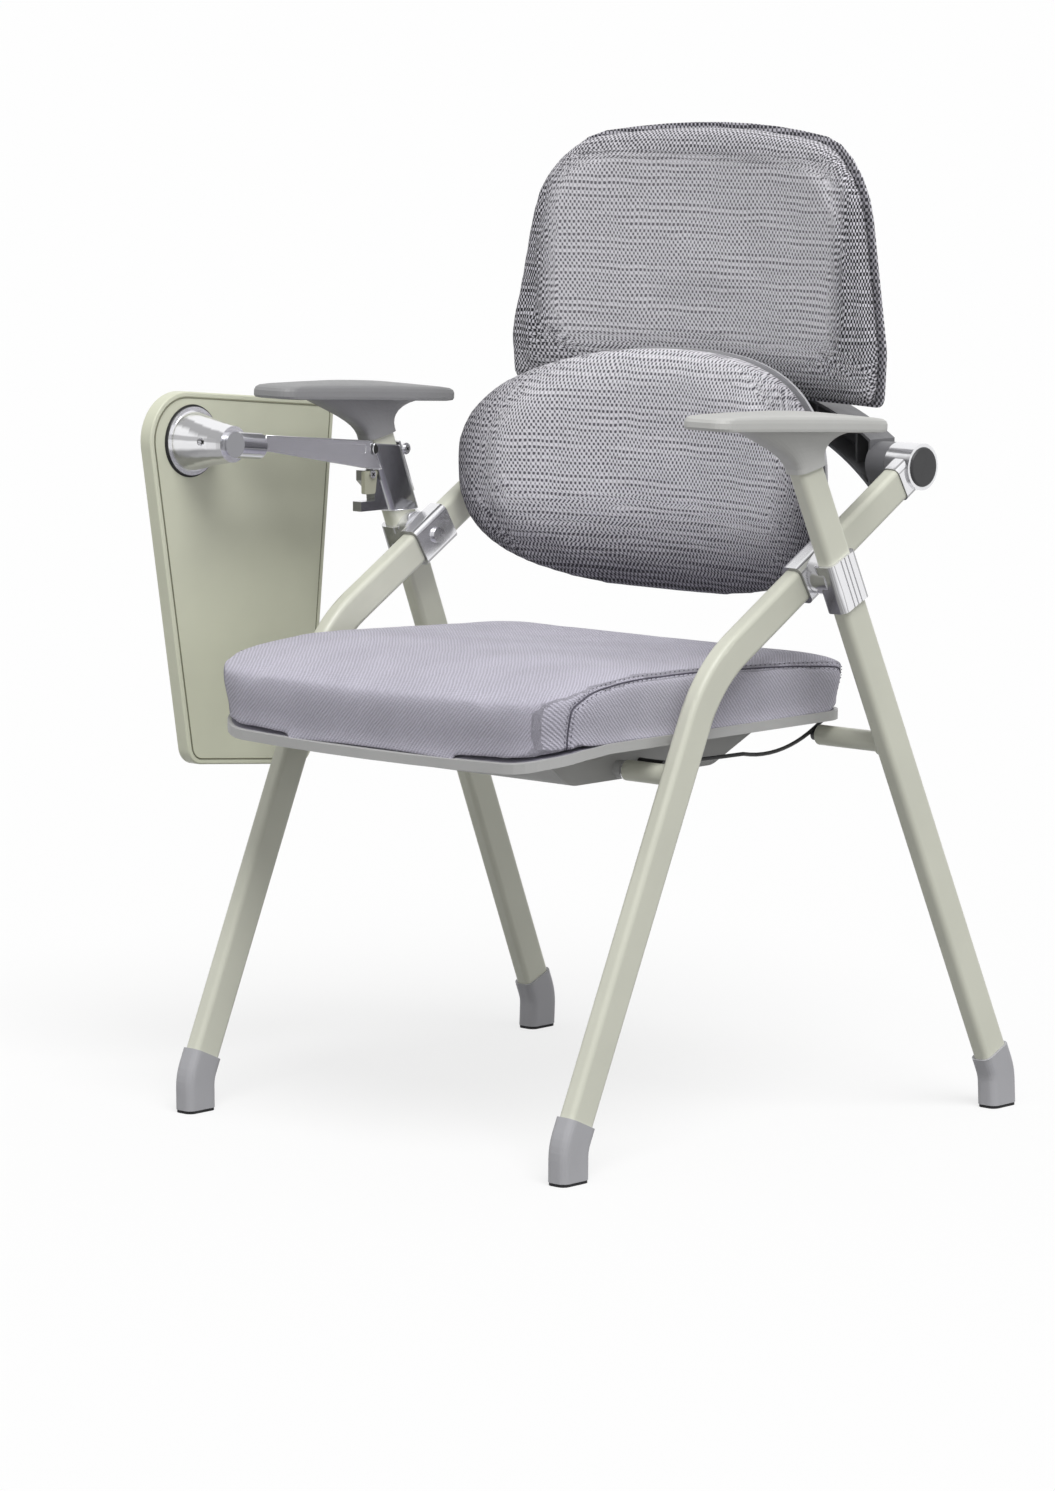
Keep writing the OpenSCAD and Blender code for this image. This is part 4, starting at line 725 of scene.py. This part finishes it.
def make_seat():
    thread_radius, thread_depth, stitch_aside = 0.0008, 0.0013, 0.0032
    piece = soft_piece("seat_cushion", "seat_upholstery", voxel=0.0055, start_in=0.002,
                       cap=0.004, hold_axis=(0, 0, -1), eased=7)
    hang_skirt(piece)
    for side, label in ((1, "left"), (-1, "right")):
        places = seam_points(piece, side)
        press_seam(piece, places, width=0.0036, depth=0.0021)
        # The seam line lies in the pressed groove, and its dark colour is partly painted shade
        # there.
        line = [place - normal * thread_depth for place, normal in places]
        thin_line("seat_seam_" + label, line, thread_radius, SEAM_THREAD_AND_SHADE, "seat")
        for aside, row in ((-stitch_aside, "outer"), (stitch_aside, "inner")):
            stitches("seat_stitches_" + label + "_" + row, places, aside * side, SEAM_THREAD_AND_SHADE,
                     "seat")
    points = points_of(piece.data)
    normals = normals_of(piece.data)
    steep_from, steep_fully = 0.55, 0.65
    sideways = np.abs(normals[:, 0])
    steep = np.clip((sideways - steep_from) / (steep_fully - steep_from), 0, 1)
    across = points[:, 0] * (1 - steep) + points[:, 1] * steep
    along = (points[:, 1] - points[:, 2] * 0.9) * (1 - steep) + points[:, 2] * steep
    set_weave(piece, np.stack([across, along, steep], axis=1))
    upholstered(piece, CLOTH, "seat", "seat_cushion")


make_upper_pad()
make_lumbar_pad()
make_seat()


# Soft edges on the moulded and cast pieces
def softened(name, width, paint):
    """Stands in for a piece, with its corners rounded off."""
    shape = bmesh.new()
    shape.from_mesh(nodes[name].data)
    bmesh.ops.remove_doubles(shape, verts=shape.verts, dist=0.00002)
    bmesh.ops.dissolve_limit(shape, angle_limit=math.radians(1.5), verts=shape.verts,
                             edges=shape.edges)
    data = bpy.data.meshes.new(name + "_soft")
    shape.to_mesh(data)
    shape.free()
    piece = bpy.data.objects.new(name + "_soft", data)
    scene.collection.objects.link(piece)
    edge = piece.modifiers.new("edge", "BEVEL")
    edge.width = width
    edge.segments = 3
    edge.limit_method = "ANGLE"
    edge.angle_limit = math.radians(CAST_SHARP_ANGLE)
    edge.use_clamp_overlap = True
    edge.harden_normals = True
    smooth(piece, CAST_SHARP_ANGLE)
    baked(piece)
    dress(piece, paint)
    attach(piece, body_of[name])
    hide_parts(name)


for name, width, paint in (("tablet_edge", 0.0018, BAND),
                           ("tablet_casting", 0.0032, CASTING),
                           ("tablet_arm", 0.0022, BRIGHT_CASTING),
                           ("latch_hook", 0.0008, CASTING)):
    softened(name, width, paint)


# Joint lines, screw recesses and other small fittings
def outline_of(name, direction, rank=0):
    """An edge loop of a piece's outermost flat face in one direction, rank 0 the longest."""
    data = nodes[name].data
    towards = Vector(direction)
    flat = [face for face in data.polygons if face.normal.dot(towards) > 0.99]
    farthest = max(face.center.dot(towards) for face in flat)
    flat = [face for face in flat if face.center.dot(towards) > farthest - 0.0004]
    used = {}
    for face in flat:
        for pair in face.edge_keys:
            used[pair] = used.get(pair, 0) + 1
    joined = {}
    for (first, second), count in used.items():
        if count == 1:
            joined.setdefault(first, []).append(second)
            joined.setdefault(second, []).append(first)
    loops = []
    left = set(joined)
    while left:
        start = min(left)
        loop = [start]
        left.discard(start)
        while True:
            ahead = [v for v in joined[loop[-1]] if v in left]
            if not ahead:
                break
            loop.append(ahead[0])
            left.discard(ahead[0])
        loops.append([data.vertices[v].co.copy() for v in loop])

    def length(loop):
        return sum((a - b).length for a, b in zip(loop, loop[1:]))

    return sorted(loops, key=length, reverse=True)[rank]


def collar_ring(foot, tube):
    """Places round a tube, where it leaves the collar of its foot."""
    lift, collar = 0.0003, 0.03
    data = nodes[foot].data
    top = max(vertex.co.z for vertex in data.vertices)
    flat = [face for face in data.polygons
            if face.normal.z > 0.8 and face.center.z > top - collar]
    whole = sum(face.area for face in flat)
    centre = sum((face.center * face.area for face in flat), Vector()) / whole
    axis = sum((face.normal * face.area for face in flat), Vector()).normalized()
    return ring_round(tube, centre + axis * lift, axis)


def ring_round(name, centre, axis):
    """Places on a piece's outer surface, in the plane through centre square to axis."""
    count, reach = 40, 0.06
    tree = BVHTree.FromObject(nodes[name], bpy.context.evaluated_depsgraph_get())
    first = axis.orthogonal().normalized()
    second = axis.cross(first)
    found = []
    for step in range(count):
        turn = math.tau * step / count
        outward = first * math.cos(turn) + second * math.sin(turn)
        place, _, _, _ = tree.ray_cast(centre + outward * reach, -outward, reach)
        if place is not None:
            found.append(place)
    return found


def cross_recess(name, place, direction, size, body):
    """A dark cross in the head of a screw."""
    facing = Vector(direction).normalized()
    first = facing.orthogonal().normalized()
    second = facing.cross(first)
    slimness, depth = 0.24, 0.0004
    shape = bmesh.new()
    for along, across in ((first, second), (second, first)):
        bar = bmesh.ops.create_cube(shape, size=1.0)
        turn = Matrix((along, across, facing)).transposed().to_4x4()
        scale = Matrix.Diagonal((size, size * slimness, depth, 1))
        bmesh.ops.transform(shape, matrix=Matrix.Translation(place) @ turn @ scale,
                            verts=bar["verts"])
    data = bpy.data.meshes.new(name)
    shape.to_mesh(data)
    shape.free()
    added(name, data, GAP, body)


def circle(centre, axis, radius, count, squeeze=1.0):
    """Places round a circle, or round an upright ellipse where squeeze is below 1."""
    first = Vector((0, 0, 1)) if abs(axis.z) < 0.5 else Vector((1, 0, 0))
    second = axis.cross(first).normalized()
    return [centre + radius * (first * math.cos(math.tau * k / count)
                               + second * squeeze * math.sin(math.tau * k / count))
            for k in range(count)]


def make_joint_lines():
    """Lines where feet, band and cone meet their neighbours, and on the arm and casting."""
    for place in ("front", "rear"):
        for side in ("left", "right"):
            ring = collar_ring(place + "_foot_" + side, place + "_tube_" + side)
            thin_line(place + "_foot_line_" + side, ring, 0.0006, GAP, place + "_frame",
                      True)
    edge = outline_of("tablet_board", (1, 0, 0))
    thin_line("tablet_band_line", edge, 0.0006, GROOVE, "tablet", True)
    sideways = Vector((1, 0, 0))
    cone_base, casting_end = spot(-361.8, 108, 652.5), spot(-273.5, 281, 638.5)
    base = circle(cone_base, sideways, 0.0354, 72)
    thin_line("cone_line", base, 0.0012, GAP, "tablet", True)
    groove = outline_of("tablet_arm", (1, 0, 0), 1)
    thin_line("arm_groove_rim", groove, 0.0008, ALUMINIUM, "rear_frame", True)
    for name, size, width, paint in (("casting_lens", 0.0056, 0.0008, ALUMINIUM),
                                     ("casting_lens_hole", 0.003, 0.0019, GAP)):
        lens = circle(casting_end, sideways, size, 32, 0.55)
        thin_line(name, lens, width, paint, "rear_frame", True)


def head_of(screw, direction):
    """The middle of the end of a screw in one direction."""
    low, high = (Vector(corner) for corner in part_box(screw))
    towards = Vector(direction)
    return (low + high) / 2 + towards * (abs((high - low).dot(towards)) / 2)


def make_recesses():
    ahead = Vector((0, -1, 0))
    rim = circle(head_of("cone_screw", ahead) + ahead * 0.0002, -ahead, 0.0052, 32)
    thin_line("cone_recess", rim, 0.0009, GAP, "tablet", True)
    for screw, direction, size, body in (("cone_screw", (0, -1, 0), 0.0052, "tablet"),
                                         ("latch_screw", (1, 0, 0), 0.0048, "rear_frame"),
                                         ("casting_screw", (1, 0, 0), 0.0036, "rear_frame")):
        cross_recess(screw + "_cross", head_of(screw, direction), direction, size, body)


make_joint_lines()
make_recesses()


# Floor, light and background
FLOOR_GREY = 0.25
FLOOR_GLOW = 0.74
HORIZON_LIGHT = 0.8
ZENITH_LIGHT = 0.3
BACKGROUND_WHITE = 1.0
WHITE = (1, 1, 1, 1)


def cleared_tree(holder):
    """The empty node tree of a material or world."""
    holder.use_nodes = True
    holder.node_tree.nodes.clear()
    return holder.node_tree


def seen_share(tree):
    """1 for rays from the camera, off gloss or through glass, and 0 for the rest."""
    path = tree.nodes.new("ShaderNodeLightPath")
    seen = path.outputs["Is Camera Ray"]
    for kind in ("Is Glossy Ray", "Is Transmission Ray"):
        either = tree.nodes.new("ShaderNodeMath")
        either.operation = "MAXIMUM"
        tree.links.new(seen, either.inputs[0])
        tree.links.new(path.outputs[kind], either.inputs[1])
        seen = either.outputs[0]
    return seen


def make_floor():
    """A wide floor that takes a shadow and looks nearly white."""
    data = bpy.data.meshes.new("floor")
    size = 150
    data.from_pydata([(-size, -size, 0), (size, -size, 0), (size, size, 0), (-size, size, 0)],
                     [], [(0, 1, 2, 3)])
    floor = bpy.data.objects.new("floor", data)
    scene.collection.objects.link(floor)
    made = bpy.data.materials.new("floor")
    tree = cleared_tree(made)
    out = tree.nodes.new("ShaderNodeOutputMaterial")
    matt = tree.nodes.new("ShaderNodeBsdfDiffuse")
    matt.inputs["Color"].default_value = (FLOOR_GREY, FLOOR_GREY, FLOOR_GREY, 1)
    lift = tree.nodes.new("ShaderNodeEmission")
    lift.inputs["Color"].default_value = WHITE
    both = tree.nodes.new("ShaderNodeAddShader")
    share = tree.nodes.new("ShaderNodeMath")
    share.operation = "MULTIPLY"
    share.inputs[1].default_value = FLOOR_GLOW
    tree.links.new(seen_share(tree), share.inputs[0])
    tree.links.new(share.outputs[0], lift.inputs["Strength"])
    tree.links.new(matt.outputs[0], both.inputs[0])
    tree.links.new(lift.outputs[0], both.inputs[1])
    tree.links.new(both.outputs[0], out.inputs["Surface"])
    data.materials.append(made)


def make_light():
    """A pale sky, brightest at the horizon, a white background and one soft key light."""
    world = bpy.data.worlds.new("studio")
    scene.world = world
    tree = cleared_tree(world)
    out = tree.nodes.new("ShaderNodeOutputWorld")
    back = tree.nodes.new("ShaderNodeBackground")
    heading = tree.nodes.new("ShaderNodeTexCoord")
    parts = tree.nodes.new("ShaderNodeSeparateXYZ")
    tree.links.new(heading.outputs["Generated"], parts.inputs[0])
    sky = tree.nodes.new("ShaderNodeMapRange")
    sky.inputs["To Min"].default_value = HORIZON_LIGHT
    sky.inputs["To Max"].default_value = ZENITH_LIGHT
    tree.links.new(parts.outputs[2], sky.inputs["Value"])
    level = tree.nodes.new("ShaderNodeMapRange")
    level.inputs["To Max"].default_value = BACKGROUND_WHITE
    tree.links.new(sky.outputs[0], level.inputs["To Min"])
    tree.links.new(seen_share(tree), level.inputs["Value"])
    tree.links.new(level.outputs[0], back.inputs["Strength"])
    back.inputs["Color"].default_value = WHITE
    tree.links.new(back.outputs[0], out.inputs["Surface"])
    data = bpy.data.lights.new("key", "SUN")
    data.energy = 2.0
    data.angle = math.radians(35)
    key = bpy.data.objects.new("key", data)
    key.rotation_euler = Vector((0.55, -0.32, 1.0)).to_track_quat("Z", "Y").to_euler()
    scene.collection.objects.link(key)


make_floor()
make_light()
scene.view_settings.view_transform = "Standard"
